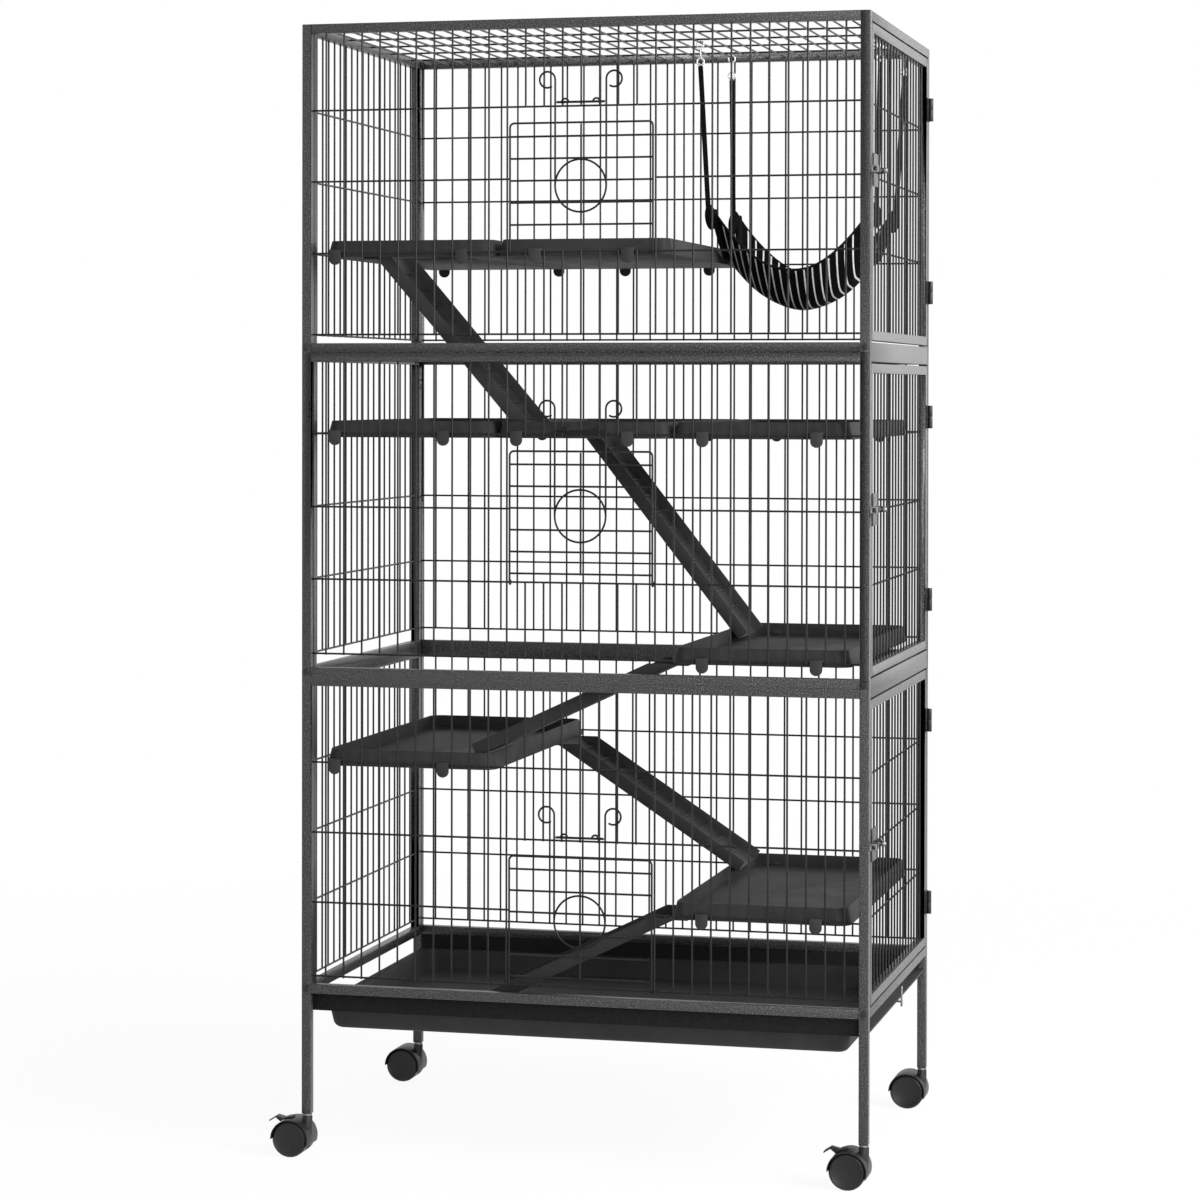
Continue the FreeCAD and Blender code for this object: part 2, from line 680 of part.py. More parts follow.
def shelf(x, wire_z, tab_shares, ramp_x=None, ramp_y=None, heading=1, through=False):
    """Tray with tabs; where a ramp hangs there are two peg holes, and an opening if it goes through."""
    base_z = wire_z - SHELF_DROP
    body = tapered_block(
        shelf_outline(x, base_z, 0, 0, SHELF_CORNER),
        shelf_outline(x, base_z, SHELF_RIM_HEIGHT, 0, SHELF_CORNER),
    )
    pocket = tapered_block(
        shelf_outline(x, base_z, SHELF_FLOOR, SHELF_WALL, tray_corner),
        shelf_outline(x, base_z, SHELF_RIM_HEIGHT + SHELF_FLOOR, SHELF_WALL, tray_corner),
    )
    tray = body.cut(pocket)
    low = base_z - CUT_MARGIN
    high = base_z + SHELF_FLOOR + CUT_MARGIN
    if through:
        hole = box(ramp_x, ramp_x + RAMP_HOLE_LENGTH, ramp_y, ramp_y + RAMP_WIDTH, low, high)
        tray = tray.cut(hole)
    if ramp_x is not None:
        half = RAMP_PEG / 2 + RAMP_PEG_CLEARANCE
        for peg_x, peg_y in peg_places(ramp_x, ramp_y, heading):
            tray = tray.cut(box(peg_x - half, peg_x + half, peg_y - half, peg_y + half, low, high))
    tabs = []
    for share in tab_shares:
        for side in (-1, 1):
            tabs.append(hook_tab(tab_gap(x, share), side, wire_z, base_z))
    return tray.fuse(tabs).removeSplitter()


def peg_places(top_x, y0, heading):
    """Middles of the two pegs on the lip of a ramp that goes down from top_x."""
    x = top_x - heading * RAMP_LIP / 2
    return (x, y0 + RAMP_PEG_INSET), (x, y0 + RAMP_WIDTH - RAMP_PEG_INSET)


# Left, middle and right shelf places, and how far along each shelf its tabs go between the bars
shelf_left = -shelf_pitch
shelf_middle = 0.0
shelf_right = shelf_pitch
upper_heights = cross_heights("upper")
middle_heights = cross_heights("middle")
lower_heights = cross_heights("lower")
left_tabs = (-0.43, 0.22)
right_tabs = (-0.32, 0.32)

upper_ramp_x = shelf_left - shelf_width / 2 + UPPER_RAMP_INSET
middle_ramp_x = shelf_middle - shelf_width / 2 + MIDDLE_RAMP_INSET
under_right_x = shelf_right - shelf_width / 2 + RAMP_LIP_INSET
under_left_x = shelf_left + shelf_width / 2 - RAMP_LIP_INSET
tray_inner_y = shelf_half_depth - SHELF_TAPER - SHELF_WALL
tray_corner = SHELF_CORNER - SHELF_WALL
front_ramp_y = -tray_inner_y + RAMP_SIDE_GAP
back_ramp_y = tray_inner_y - RAMP_BACK_INSET - RAMP_WIDTH

shelf_places = {
    "upper_left_shelf": (shelf_left, upper_heights[1], (-0.43, 0.32), upper_ramp_x, front_ramp_y, 1, True),
    "upper_middle_shelf": (shelf_middle, upper_heights[1], (-0.27, 0.27)),
    "middle_left_shelf": (shelf_left, middle_heights[3], left_tabs),
    "middle_centre_shelf": (
        shelf_middle, middle_heights[3], (-0.38, 0.27), middle_ramp_x, back_ramp_y, 1, True
    ),
    "middle_right_shelf": (shelf_right, middle_heights[3], right_tabs),
    "middle_low_shelf": (shelf_right, middle_heights[0], right_tabs, under_right_x, front_ramp_y, -1),
    "lower_left_shelf": (shelf_left, lower_heights[3], left_tabs, under_left_x, back_ramp_y, 1),
    "lower_right_shelf": (shelf_right, lower_heights[1], right_tabs, under_right_x, front_ramp_y, -1),
}
for node, places in shelf_places.items():
    save(node, [shelf(*places)])


# Ramps: moulded channels hung under one shelf, resting on the next one down
def ramp(top_x, top_z, foot_x, foot_z, y0, overhang):
    """Channel whose underside meets (foot_x, foot_z) and whose top is cut level under the shelf at top_z."""
    heading = 1 if foot_x > top_x else -1
    run = abs(foot_x - top_x)
    ceiling = top_z - RAMP_SEAT_GAP
    slope = atan2(ceiling - RAMP_WALL - foot_z, run)
    back = RAMP_LIP
    length = (run + overhang) / cos(slope) + back
    channel = box(0, length, 0, RAMP_WIDTH, 0, RAMP_WALL)
    walls = []
    for y in (0, RAMP_WIDTH - RAMP_WALL):
        walls.append(box(0, length, y, y + RAMP_WALL, 0, RAMP_WALL_HEIGHT))
    treads = []
    count = int((length - 2 * back) / RAMP_TREAD_PITCH)
    for row in range(count):
        x = 1.5 * back + (row + 0.5) * RAMP_TREAD_PITCH
        tread_top = RAMP_WALL + RAMP_TREAD
        treads.append(box(x, x + RAMP_TREAD, RAMP_WALL, RAMP_WIDTH - RAMP_WALL, RAMP_WALL, tread_top))
    shape = channel.fuse(walls + treads)
    shape.translate(V(-back, -RAMP_WIDTH / 2, 0))
    shape.rotate(V(0, 0, 0), Y_AXIS, slope * 180 / pi)
    if heading < 0:
        shape.rotate(V(0, 0, 0), Z_AXIS, 180)
    shape.translate(V(top_x, y0 + RAMP_WIDTH / 2, ceiling - RAMP_WALL))
    reach = length + RAMP_WALL_HEIGHT
    y_low = y0 - CUT_MARGIN
    y_high = y0 + RAMP_WIDTH + CUT_MARGIN
    above = box(top_x - reach, top_x + reach, y_low, y_high, ceiling, ceiling + reach)
    shape = shape.cut(above)
    lip_x = sorted((top_x - heading * RAMP_LIP, top_x + heading * RAMP_WALL))
    pieces = [box(lip_x[0], lip_x[1], y0, y0 + RAMP_WIDTH, ceiling - RAMP_WALL, ceiling)]
    half = RAMP_PEG / 2
    peg_top = top_z + SHELF_FLOOR
    for x, y in peg_places(top_x, y0, heading):
        pieces.append(box(x - half, x + half, y - half, y + half, ceiling - RAMP_WALL, peg_top))
    return shape.fuse(pieces).removeSplitter()


def shelf_base(wire_z):
    return wire_z - SHELF_DROP


def rim_top(wire_z):
    return shelf_base(wire_z) + SHELF_RIM_HEIGHT + RAMP_SEAT_GAP


# Ramps cross the inner edge of a rim; the one beside the front wall also clears the rim's round corner
rim_inset = SHELF_TAPER + SHELF_WALL
corner_reach = tray_corner - sqrt(tray_corner ** 2 - (tray_corner - RAMP_SIDE_GAP) ** 2)
right_rim_x = shelf_right - shelf_width / 2 + rim_inset
left_rim_x = shelf_left + shelf_width / 2 - rim_inset
middle_floor = shelf_base(middle_heights[3]) + SHELF_FLOOR + RAMP_SEAT_GAP
upper_foot_x = shelf_middle - shelf_width / 2 + UPPER_RAMP_FOOT
upper_base = shelf_base(upper_heights[1])
middle_base = shelf_base(middle_heights[3])
low_base = shelf_base(middle_heights[0])
left_base = shelf_base(lower_heights[3])
right_base = shelf_base(lower_heights[1])

upper_ramp = ramp(upper_ramp_x, upper_base, upper_foot_x, middle_floor, front_ramp_y, 0)
below_floor = box(-half_width, half_width, -half_depth, half_depth, 0, middle_floor)
save("upper_ramp", [upper_ramp.cut(below_floor)])
low_rim = rim_top(middle_heights[0])
left_rim = rim_top(lower_heights[3])
right_rim = rim_top(lower_heights[1])
save("middle_ramp", [ramp(middle_ramp_x, middle_base, right_rim_x, low_rim, back_ramp_y, RAMP_OVERHANG)])
cross_foot_x = left_rim_x - corner_reach
save("cross_ramp", [ramp(under_right_x, low_base, cross_foot_x, left_rim, front_ramp_y, RAMP_OVERHANG)])
save("lower_ramp", [ramp(under_left_x, left_base, right_rim_x, right_rim, back_ramp_y, RAMP_OVERHANG)])

# The lowest ramp ends just over the pan's rim, so that the pan can slide
ledge_low = BODY_BOTTOM - RUNNER_DROP
pan_flange_low = ledge_low + RUNNER_SHEET + PAN_LIFT
pan_top = pan_flange_low + PAN_FLANGE
foot_x = under_right_x - FOOT_RAMP_RUN
save("foot_ramp", [ramp(under_right_x, right_base, foot_x, pan_top + FOOT_RAMP_GAP, front_ramp_y, 0)])

# Pull-out pan: a flanged tray that slides to the right on two angle runners between the legs
ledge_inner = inner_y - RUNNER_LEDGE
pan_floor = PAN_BOTTOM + PAN_WALL
pan_rim_y = inner_y - PAN_SIDE_GAP
pan_body_y = ledge_inner - PAN_BODY_GAP
pan_left = -half_width + PAN_LEFT_GAP
pan_right = half_width - PAN_RIGHT_GAP


def pan_outline(z, inset, radius):
    lean = PAN_TAPER * (pan_top - z) / (pan_top - PAN_BOTTOM) + inset
    half_x = half_width - PAN_BODY_END_GAP - lean
    half_y = pan_body_y - lean
    return -half_x, half_x, -half_y, half_y, z, radius


pan_inner_corner = PAN_CORNER - PAN_WALL
pan_body = tapered_block(pan_outline(PAN_BOTTOM, 0, PAN_CORNER), pan_outline(pan_top, 0, PAN_CORNER))
pan_pocket = tapered_block(
    pan_outline(pan_floor, PAN_WALL, pan_inner_corner),
    pan_outline(pan_top + PAN_WALL, PAN_WALL, pan_inner_corner),
)
pan_flange = tapered_block(
    (pan_left, pan_right, -pan_rim_y, pan_rim_y, pan_flange_low, PAN_RIM_CORNER),
    (pan_left, pan_right, -pan_rim_y, pan_rim_y, pan_top, PAN_RIM_CORNER),
)
save("pan", [pan_body.fuse(pan_flange).cut(pan_pocket).removeSplitter()])

# Spring wire clip on the pan's right end, with its foot under the rim
clip_foot_z = pan_flange_low - CATCH_CLIP_WIRE / 2
clip_x = half_width + CATCH_CLIP_OUT
clip_foot = V(clip_x, CATCH_CLIP_Y, clip_foot_z)
clip_low = V(clip_x, CATCH_CLIP_Y, pan_flange_low - CATCH_CLIP_DROP)
clip_high = V(clip_x, CATCH_CLIP_Y, BODY_BOTTOM - CATCH_CLIP_TOP_GAP)
clip_post = wire_rod(clip_low, clip_high, X_AXIS, CATCH_CLIP_WIRE)
clip_arm = wire_rod(clip_foot, clip_foot - V(CATCH_CLIP_FOOT, 0, 0), Z_AXIS, CATCH_CLIP_WIRE)
save("pan_catch", [clip_post.fuse(clip_arm).removeSplitter()])

runners = []
for side in (-1, 1):
    web_y = sorted((side * inner_y, side * (inner_y + RUNNER_SHEET)))
    ledge_y = sorted((side * ledge_inner, side * (inner_y + RUNNER_SHEET)))
    web = box(-inner_x, inner_x, web_y[0], web_y[1], ledge_low, BODY_BOTTOM)
    ledge = box(-inner_x, inner_x, ledge_y[0], ledge_y[1], ledge_low, ledge_low + RUNNER_SHEET)
    runners.append(web.fuse(ledge).removeSplitter())
save("pan_runners", runners)

# Hammock: a sagging sling hung from the roof wires by four straps with snap hooks
hammock_left = shelf_middle + shelf_width / 2 - HAMMOCK_SHELF_LAP
hammock_right = inner_x - HAMMOCK_END_GAP
hammock_back = inner_y - HAMMOCK_BACK_GAP
hammock_front = hammock_back - HAMMOCK_BREADTH
hammock_corner_z = cage_top - HAMMOCK_DROP
strap_left_x = round((hammock_left - HAMMOCK_STRAP_LEAN) / BAR_PITCH) * BAR_PITCH
strap_right_x = round((hammock_right + HAMMOCK_STRAP_LEAN) / BAR_PITCH) * BAR_PITCH


def cloth_section(share):
    """Bent strip across the sling; share runs from 0 at the left end to 1 at the right end."""
    x = hammock_left + (hammock_right - hammock_left) * share
    bow = 1 - (2 * share - 1) ** 2
    edge = hammock_corner_z - HAMMOCK_SAG * bow
    belly = HAMMOCK_END_BELLY + (HAMMOCK_BELLY - HAMMOCK_END_BELLY) * bow
    under = []
    for fold in range(HAMMOCK_FOLDS + 1):
        across = fold / HAMMOCK_FOLDS
        dip = 1 - (2 * across - 1) ** 2
        tuck = HAMMOCK_END_LEAN * (1 - 2 * share) * belly * dip
        under.append(V(x + tuck, hammock_front + HAMMOCK_BREADTH * across, edge - belly * dip))
    lift = V(-HAMMOCK_END_LEAN * (1 - 2 * share) * HAMMOCK_CLOTH, 0, HAMMOCK_CLOTH)
    return polygon(under + [point + lift for point in reversed(under)])


sections = [cloth_section(step / (HAMMOCK_STATIONS - 1)) for step in range(HAMMOCK_STATIONS)]
save("hammock", [Part.makeLoft(sections, True, True)])

def strap_end(middle):
    """Level outline of a strap's end."""
    across = V(STRAP_WIDTH / 2, 0, 0)
    deep = V(0, STRAP_THICKNESS / 2, 0)
    return polygon([
        middle - across - deep, middle + across - deep, middle + across + deep, middle - across + deep
    ])


snap_top = roof_z + SNAP_GAP
ring_radius = SNAP_RING_INNER + SNAP_RING_WIRE
upper_ring_z = snap_top - SNAP_RING_INNER
lower_ring_z = upper_ring_z - SNAP_LENGTH
straps = []
snaps = []
for x_wire, x_cloth, inward in ((strap_left_x, hammock_left, 1), (strap_right_x, hammock_right, -1)):
    for y_cloth, out in ((hammock_front + STRAP_INSET, -1), (hammock_back - STRAP_INSET, 1)):
        y = y_cloth + out * (STRAP_SPREAD + STRAP_INSET)
        discs = []
        holes = []
        for z in (upper_ring_z, lower_ring_z):
            base = V(x_wire, y - SNAP_THICKNESS / 2, z)
            discs.append(Part.makeCylinder(ring_radius, SNAP_THICKNESS, base, Y_AXIS))
            holes.append(Part.makeCylinder(SNAP_RING_INNER, SNAP_THICKNESS, base, Y_AXIS))
        shank = box(
            x_wire - SNAP_RING_WIRE / 2, x_wire + SNAP_RING_WIRE / 2,
            y - SNAP_THICKNESS / 2, y + SNAP_THICKNESS / 2, lower_ring_z, upper_ring_z,
        )
        snap = discs[0].fuse([discs[1], shank])
        for hole in holes:
            snap = snap.cut(hole)
        snaps.append(snap.removeSplitter())
        strap_top = lower_ring_z - ring_radius
        strap_foot = hammock_corner_z - STRAP_LAP
        foot_x = x_cloth - inward * (STRAP_WIDTH / 2 + HAMMOCK_END_LEAN * HAMMOCK_CLOTH)
        top_end = strap_end(V(x_wire, y, strap_top))
        foot_end = strap_end(V(foot_x, y_cloth, strap_foot))
        straps.append(Part.makeLoft([foot_end, top_end], True, True))
save("hammock_straps", straps)
save("snap_hooks", snaps)

# Casters: twin wheels on an axle through a swivelling web, stem up the leg
leg_x = half_width - TUBE / 2
leg_y = half_depth - TUBE / 2
collar_bottom = LEG_BOTTOM - COLLAR_HEIGHT


def wheel_disc(centre, side):
    """One wheel: a rim with a chamfered edge and a dished outer face, turned about Y."""
    inner = CASTER_WEB / 2 + CASTER_SIDE_GAP
    outer = inner + WHEEL_WIDTH
    radius = WHEEL_RADIUS
    dish_radius = radius - 2 * WHEEL_EDGE
    profile = [
        V(0, inner, 0),
        V(radius, inner, 0),
        V(radius, outer - WHEEL_EDGE, 0),
        V(radius - WHEEL_EDGE, outer, 0),
        V(dish_radius, outer - WHEEL_DISH, 0),
        V(0, outer - WHEEL_DISH, 0),
    ]
    face = Part.Face(polygon(profile))
    disc = face.revolve(V(0, 0, 0), Y_AXIS, 360)
    if side < 0:
        disc.rotate(V(0, 0, 0), Z_AXIS, 180)
    disc.translate(centre)
    return disc


def wheel_pair(x, y):
    centre = V(x - CASTER_TRAIL, y, WHEEL_RADIUS)
    half = CASTER_WEB / 2 + CASTER_SIDE_GAP
    axle = Part.makeCylinder(CASTER_AXLE / 2, 2 * half, centre - V(0, half, 0), Y_AXIS)
    return axle.fuse([wheel_disc(centre, 1), wheel_disc(centre, -1)]).removeSplitter()


hood_inner = WHEEL_RADIUS + HOOD_GAP
hood_outer = hood_inner + HOOD_WALL


def swivel(x, y):
    """Hood over the wheels with a web between them, and a boss and stem on the leg's axis."""
    centre = V(x - CASTER_TRAIL, y, WHEEL_RADIUS)
    side = V(0, HOOD_WIDTH / 2, 0)
    web_side = V(0, CASTER_WEB / 2, 0)
    hood = Part.makeCylinder(hood_outer, HOOD_WIDTH, centre - side, Y_AXIS)
    hood = hood.cut(Part.makeCylinder(hood_inner, HOOD_WIDTH, centre - side, Y_AXIS))
    web = Part.makeCylinder((hood_inner + hood_outer) / 2, CASTER_WEB, centre - web_side, Y_AXIS)
    upper = box(
        centre.x - hood_outer, centre.x + hood_outer, y - HOOD_WIDTH / 2, y + HOOD_WIDTH / 2,
        WHEEL_RADIUS, WHEEL_RADIUS + hood_outer,
    )
    behind = box(
        centre.x, centre.x + hood_outer, y - HOOD_WIDTH / 2, y + HOOD_WIDTH / 2,
        WHEEL_RADIUS - HOOD_BACK_DROP, WHEEL_RADIUS,
    )
    covered = upper.fuse(behind).removeSplitter()
    hub = Part.makeCylinder(CASTER_HUB, CASTER_WEB, centre - web_side, Y_AXIS)
    boss_top = collar_bottom - COLLAR_GAP
    boss = Part.makeCylinder(BOSS_RADIUS, boss_top - WHEEL_RADIUS, V(x, y, WHEEL_RADIUS))
    for out in (-1, 1):
        room = Part.makeCylinder(hood_inner, HOOD_WIDTH, centre + web_side * out, Y_AXIS * out)
        boss = boss.cut(room)
    stem = Part.makeCylinder(STEM / 2, LEG_BOTTOM + STEM_ENTRY - boss_top, V(x, y, boss_top))
    body = hood.common(covered).fuse([web.common(covered), hub, boss, stem])
    bore = Part.makeCylinder(CASTER_AXLE / 2 + AXLE_CLEARANCE, CASTER_WEB, centre - web_side, Y_AXIS)
    return body.cut(bore).removeSplitter()


def brake_lever(x, y):
    """Curved plate that turns over the hood about the wheel's axis, with a tail for the foot."""
    inner = hood_outer + BRAKE_GAP
    outer = inner + BRAKE_PLATE
    half = BRAKE_WIDTH / 2
    plate = Part.makeCylinder(outer, BRAKE_WIDTH, V(0, -half, 0), Y_AXIS)
    plate = plate.cut(Part.makeCylinder(inner, BRAKE_WIDTH, V(0, -half, 0), Y_AXIS))
    corners = [V(0, -half, 0)]
    for degrees in (BRAKE_START, (BRAKE_START + BRAKE_END) / 2, BRAKE_END):
        angle = radians(degrees)
        corners.append(V(2 * outer * cos(angle), -half, 2 * outer * sin(angle)))
    sector = Part.Face(polygon(corners)).extrude(V(0, BRAKE_WIDTH, 0))
    angle = radians(BRAKE_END)
    root_x = (inner + outer) / 2 * cos(angle)
    root_z = (inner + outer) / 2 * sin(angle)
    crest = BRAKE_TAIL_CREST * BRAKE_TAIL
    lap = radians(BRAKE_END - BRAKE_TAIL_LAP)
    outline = [
        V((inner + outer) / 2 * cos(lap), -half, (inner + outer) / 2 * sin(lap)),
        V(root_x - crest, -half, root_z + BRAKE_TAIL_RISE),
        V(root_x - BRAKE_TAIL, -half, root_z),
        V(root_x - BRAKE_TAIL, -half, root_z - BRAKE_PLATE),
        V(root_x - crest, -half, root_z + BRAKE_TAIL_RISE - BRAKE_PLATE),
        V(root_x, -half, root_z - BRAKE_PLATE),
    ]
    tail = Part.Face(polygon(outline)).extrude(V(0, BRAKE_WIDTH, 0))
    tail = tail.cut(Part.makeCylinder(inner, BRAKE_WIDTH, V(0, -half, 0), Y_AXIS))
    lever = plate.common(sector).fuse(tail)
    lever.translate(V(x - CASTER_TRAIL, y, WHEEL_RADIUS))
    return lever.removeSplitter()


caster_places = {
    "front_left": (-leg_x, -leg_y),
    "front_right": (leg_x, -leg_y),
    "back_left": (-leg_x, leg_y),
    "back_right": (leg_x, leg_y),
}
collars = []
for place, (x, y) in caster_places.items():
    braked = place.startswith("front")
    save(place + "_caster", [swivel(x, y)])
    save(place + "_wheels", [wheel_pair(x, y)])
    if braked:
        save(place + "_brake", [brake_lever(x, y)])
    base = V(x, y, collar_bottom)
    hole = Part.makeCylinder(STEM / 2 + COLLAR_CLEARANCE, COLLAR_HEIGHT, base)
    collars.append(Part.makeCylinder(COLLAR_RADIUS, COLLAR_HEIGHT, base).cut(hole))
save("caster_collars", collars)

# Bolts that hold the front and back panels to the side frames
bolts = []
for side in (-1, 1):
    for x in (-leg_x, leg_x):
        for tier in TIER_HEIGHTS:
            seat = V(x, side * half_depth, tier_bottom[tier] + TUBE / 2)
            head = hexagon(seat, X_AXIS, Z_AXIS, BOLT_ACROSS_FLATS).extrude(V(0, side * BOLT_HEAD, 0))
            bolts.append(head)
save("frame_bolts", bolts)

# The floor point under the middle of everything becomes the origin
low_x = min(shape.BoundBox.XMin for shape in nodes.values())
high_x = max(shape.BoundBox.XMax for shape in nodes.values())
shift = V(-(low_x + high_x) / 2, 0, 0)
os.makedirs("parts", exist_ok=True)
for node, shape in nodes.items():
    shape.translate(shift)
    shape.exportStep("parts/" + node + ".step")
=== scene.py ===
import json
import math

import bmesh
import bpy
from mathutils import Matrix, Vector

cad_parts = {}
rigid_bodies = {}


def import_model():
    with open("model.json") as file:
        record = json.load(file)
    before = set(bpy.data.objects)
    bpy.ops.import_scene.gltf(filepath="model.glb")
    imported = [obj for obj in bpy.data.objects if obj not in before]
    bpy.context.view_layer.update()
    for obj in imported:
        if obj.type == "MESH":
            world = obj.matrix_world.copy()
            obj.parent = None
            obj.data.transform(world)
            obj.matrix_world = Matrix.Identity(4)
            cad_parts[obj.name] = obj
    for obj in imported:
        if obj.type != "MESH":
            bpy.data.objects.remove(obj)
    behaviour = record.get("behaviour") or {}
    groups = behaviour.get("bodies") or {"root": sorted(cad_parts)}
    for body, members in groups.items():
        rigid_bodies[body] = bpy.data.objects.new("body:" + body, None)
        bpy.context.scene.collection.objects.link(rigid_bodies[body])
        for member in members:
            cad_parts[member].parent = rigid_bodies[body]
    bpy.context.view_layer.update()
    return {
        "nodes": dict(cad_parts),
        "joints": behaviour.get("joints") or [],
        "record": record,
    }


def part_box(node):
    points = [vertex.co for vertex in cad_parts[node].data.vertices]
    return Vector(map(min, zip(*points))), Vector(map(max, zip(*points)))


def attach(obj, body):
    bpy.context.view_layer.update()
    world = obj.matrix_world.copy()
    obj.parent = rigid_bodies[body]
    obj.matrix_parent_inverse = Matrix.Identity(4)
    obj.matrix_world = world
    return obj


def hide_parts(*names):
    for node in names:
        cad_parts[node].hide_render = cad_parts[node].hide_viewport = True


# The imported cage stands on the floor in metres, with its doors on the right and its back towards +Y.
for leftover in list(bpy.data.objects):
    bpy.data.objects.remove(leftover)
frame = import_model()

# The viewer stands to the right of the middle, a little under the height of the upper seam.
# A long lens looks almost level, and the frame is shifted down to take in the casters.
scene = bpy.context.scene
scene.view_settings.view_transform = "Standard"
camera_place = Vector((1.1408, -4.6785, 1.0706))
camera_yaw = math.radians(13.973)
camera_pitch = math.radians(0.597)
camera_roll = math.radians(0.091)
sensor_width = 36.0
lens_length = 99.92
frame_shift = -0.1456
camera_data = bpy.data.cameras.new("viewer")
camera_data.sensor_width = sensor_width
camera_data.lens = lens_length
camera_data.shift_y = frame_shift
camera = bpy.data.objects.new("viewer", camera_data)
look = Vector(
    (
        -math.sin(camera_yaw) * math.cos(camera_pitch),
        math.cos(camera_yaw) * math.cos(camera_pitch),
        -math.sin(camera_pitch),
    )
)
level_turn = look.to_track_quat("-Z", "Y").to_matrix().to_4x4()
camera.matrix_world = Matrix.Translation(camera_place) @ level_turn @ Matrix.Rotation(camera_roll, 4, "Z")
scene.collection.objects.link(camera)
scene.camera = camera

# A white studio: the world is white to the eye and a softer grey as light.
# One large soft lamp stands to the right, and a weak one at the front right.
# A third, behind the cage, grazes its right side.
white = (1.0, 1.0, 1.0, 1.0)
white_strength = 1.0
sky_tint = (0.95, 0.97, 1.0, 1.0)
sky_strength = 0.6
studio = bpy.data.worlds.new("studio")
scene.world = studio
studio.use_nodes = True
sky = studio.node_tree
sky.nodes.clear()
sky_out = sky.nodes.new("ShaderNodeOutputWorld")
sky_mix = sky.nodes.new("ShaderNodeMixShader")
sky_light = sky.nodes.new("ShaderNodeBackground")
sky_light.inputs["Color"].default_value = sky_tint
sky_light.inputs["Strength"].default_value = sky_strength
sky_white = sky.nodes.new("ShaderNodeBackground")
sky_white.inputs["Color"].default_value = white
sky_white.inputs["Strength"].default_value = white_strength


def seen_directly(tree):
    """Factor that is 1 for rays from the eye, a glossy surface or glass, and 0 for light on the object."""
    path = tree.nodes.new("ShaderNodeLightPath")
    total = path.outputs["Is Camera Ray"]
    for ray in ("Is Glossy Ray", "Is Transmission Ray"):
        either = tree.nodes.new("ShaderNodeMath")
        either.operation = "MAXIMUM"
        tree.links.new(total, either.inputs[0])
        tree.links.new(path.outputs[ray], either.inputs[1])
        total = either.outputs[0]
    return total


sky.links.new(seen_directly(sky), sky_mix.inputs["Fac"])
sky.links.new(sky_light.outputs["Background"], sky_mix.inputs[1])
sky.links.new(sky_white.outputs["Background"], sky_mix.inputs[2])
sky.links.new(sky_mix.outputs["Shader"], sky_out.inputs["Surface"])


def soft_lamp(name, place, target, size, power):
    """Square lamp that shines from its place towards a target and is not seen itself."""
    lamp_data = bpy.data.lights.new(name, "AREA")
    lamp_data.size = size
    lamp_data.energy = power
    lamp = bpy.data.objects.new(name, lamp_data)
    aim = (Vector(target) - Vector(place)).to_track_quat("-Z", "Y").to_matrix().to_4x4()
    lamp.matrix_world = Matrix.Translation(Vector(place)) @ aim
    lamp.visible_camera = False
    scene.collection.objects.link(lamp)


soft_lamp("right_lamp", place=(4.2, -1.6, 2.6), target=(0.2, 0.0, 0.8), size=2.4, power=380.0)
soft_lamp("front_lamp", place=(2.9, -4.9, 1.3), target=(0.0, 0.0, 0.6), size=2.2, power=85.0)
soft_lamp("rim_lamp", place=(2.2, 4.6, 1.6), target=(0.2, 0.0, 0.8), size=2.4, power=17.0)

# The floor is pale and plain. To the eye it is mostly white, and it keeps the soft shadow of the casters.
# Away from the cage it turns white altogether, so that no edge shows against the background.
floor_half = 9.0
floor_white_share = 0.93
shadow_reach = 0.9
white_reach = 2.7
floor_grey = (0.85, 0.85, 0.85, 1.0)
floor_mesh = bpy.data.meshes.new("studio_floor")
floor_corners = [
    (-floor_half, -floor_half, 0.0),
    (floor_half, -floor_half, 0.0),
    (floor_half, floor_half, 0.0),
    (-floor_half, floor_half, 0.0),
]
floor_mesh.from_pydata(floor_corners, [], [(0, 1, 2, 3)])
floor = bpy.data.objects.new("studio_floor", floor_mesh)
scene.collection.objects.link(floor)
floor_paint = bpy.data.materials.new("studio_floor")
floor_paint.use_nodes = True
floor_tree = floor_paint.node_tree
floor_tree.nodes.clear()
floor_out = floor_tree.nodes.new("ShaderNodeOutputMaterial")
floor_mix = floor_tree.nodes.new("ShaderNodeMixShader")
floor_matt = floor_tree.nodes.new("ShaderNodeBsdfDiffuse")
floor_matt.inputs["Color"].default_value = floor_grey
floor_glow = floor_tree.nodes.new("ShaderNodeEmission")
floor_glow.inputs["Color"].default_value = white
floor_at = floor_tree.nodes.new("ShaderNodeTexCoord")
floor_away = floor_tree.nodes.new("ShaderNodeVectorMath")
floor_away.operation = "LENGTH"
floor_tree.links.new(floor_at.outputs["Object"], floor_away.inputs[0])
floor_fade = floor_tree.nodes.new("ShaderNodeMapRange")
floor_fade.inputs["From Min"].default_value = shadow_reach
floor_fade.inputs["From Max"].default_value = white_reach
floor_fade.inputs["To Min"].default_value = floor_white_share
floor_fade.inputs["To Max"].default_value = 1.0
floor_tree.links.new(floor_away.outputs["Value"], floor_fade.inputs["Value"])
floor_share = floor_tree.nodes.new("ShaderNodeMath")
floor_share.operation = "MULTIPLY"
floor_tree.links.new(floor_fade.outputs["Result"], floor_share.inputs[1])
floor_tree.links.new(seen_directly(floor_tree), floor_share.inputs[0])
floor_tree.links.new(floor_share.outputs[0], floor_mix.inputs["Fac"])
floor_tree.links.new(floor_matt.outputs["BSDF"], floor_mix.inputs[1])
floor_tree.links.new(floor_glow.outputs["Emission"], floor_mix.inputs[2])
floor_tree.links.new(floor_mix.outputs["Shader"], floor_out.inputs["Surface"])
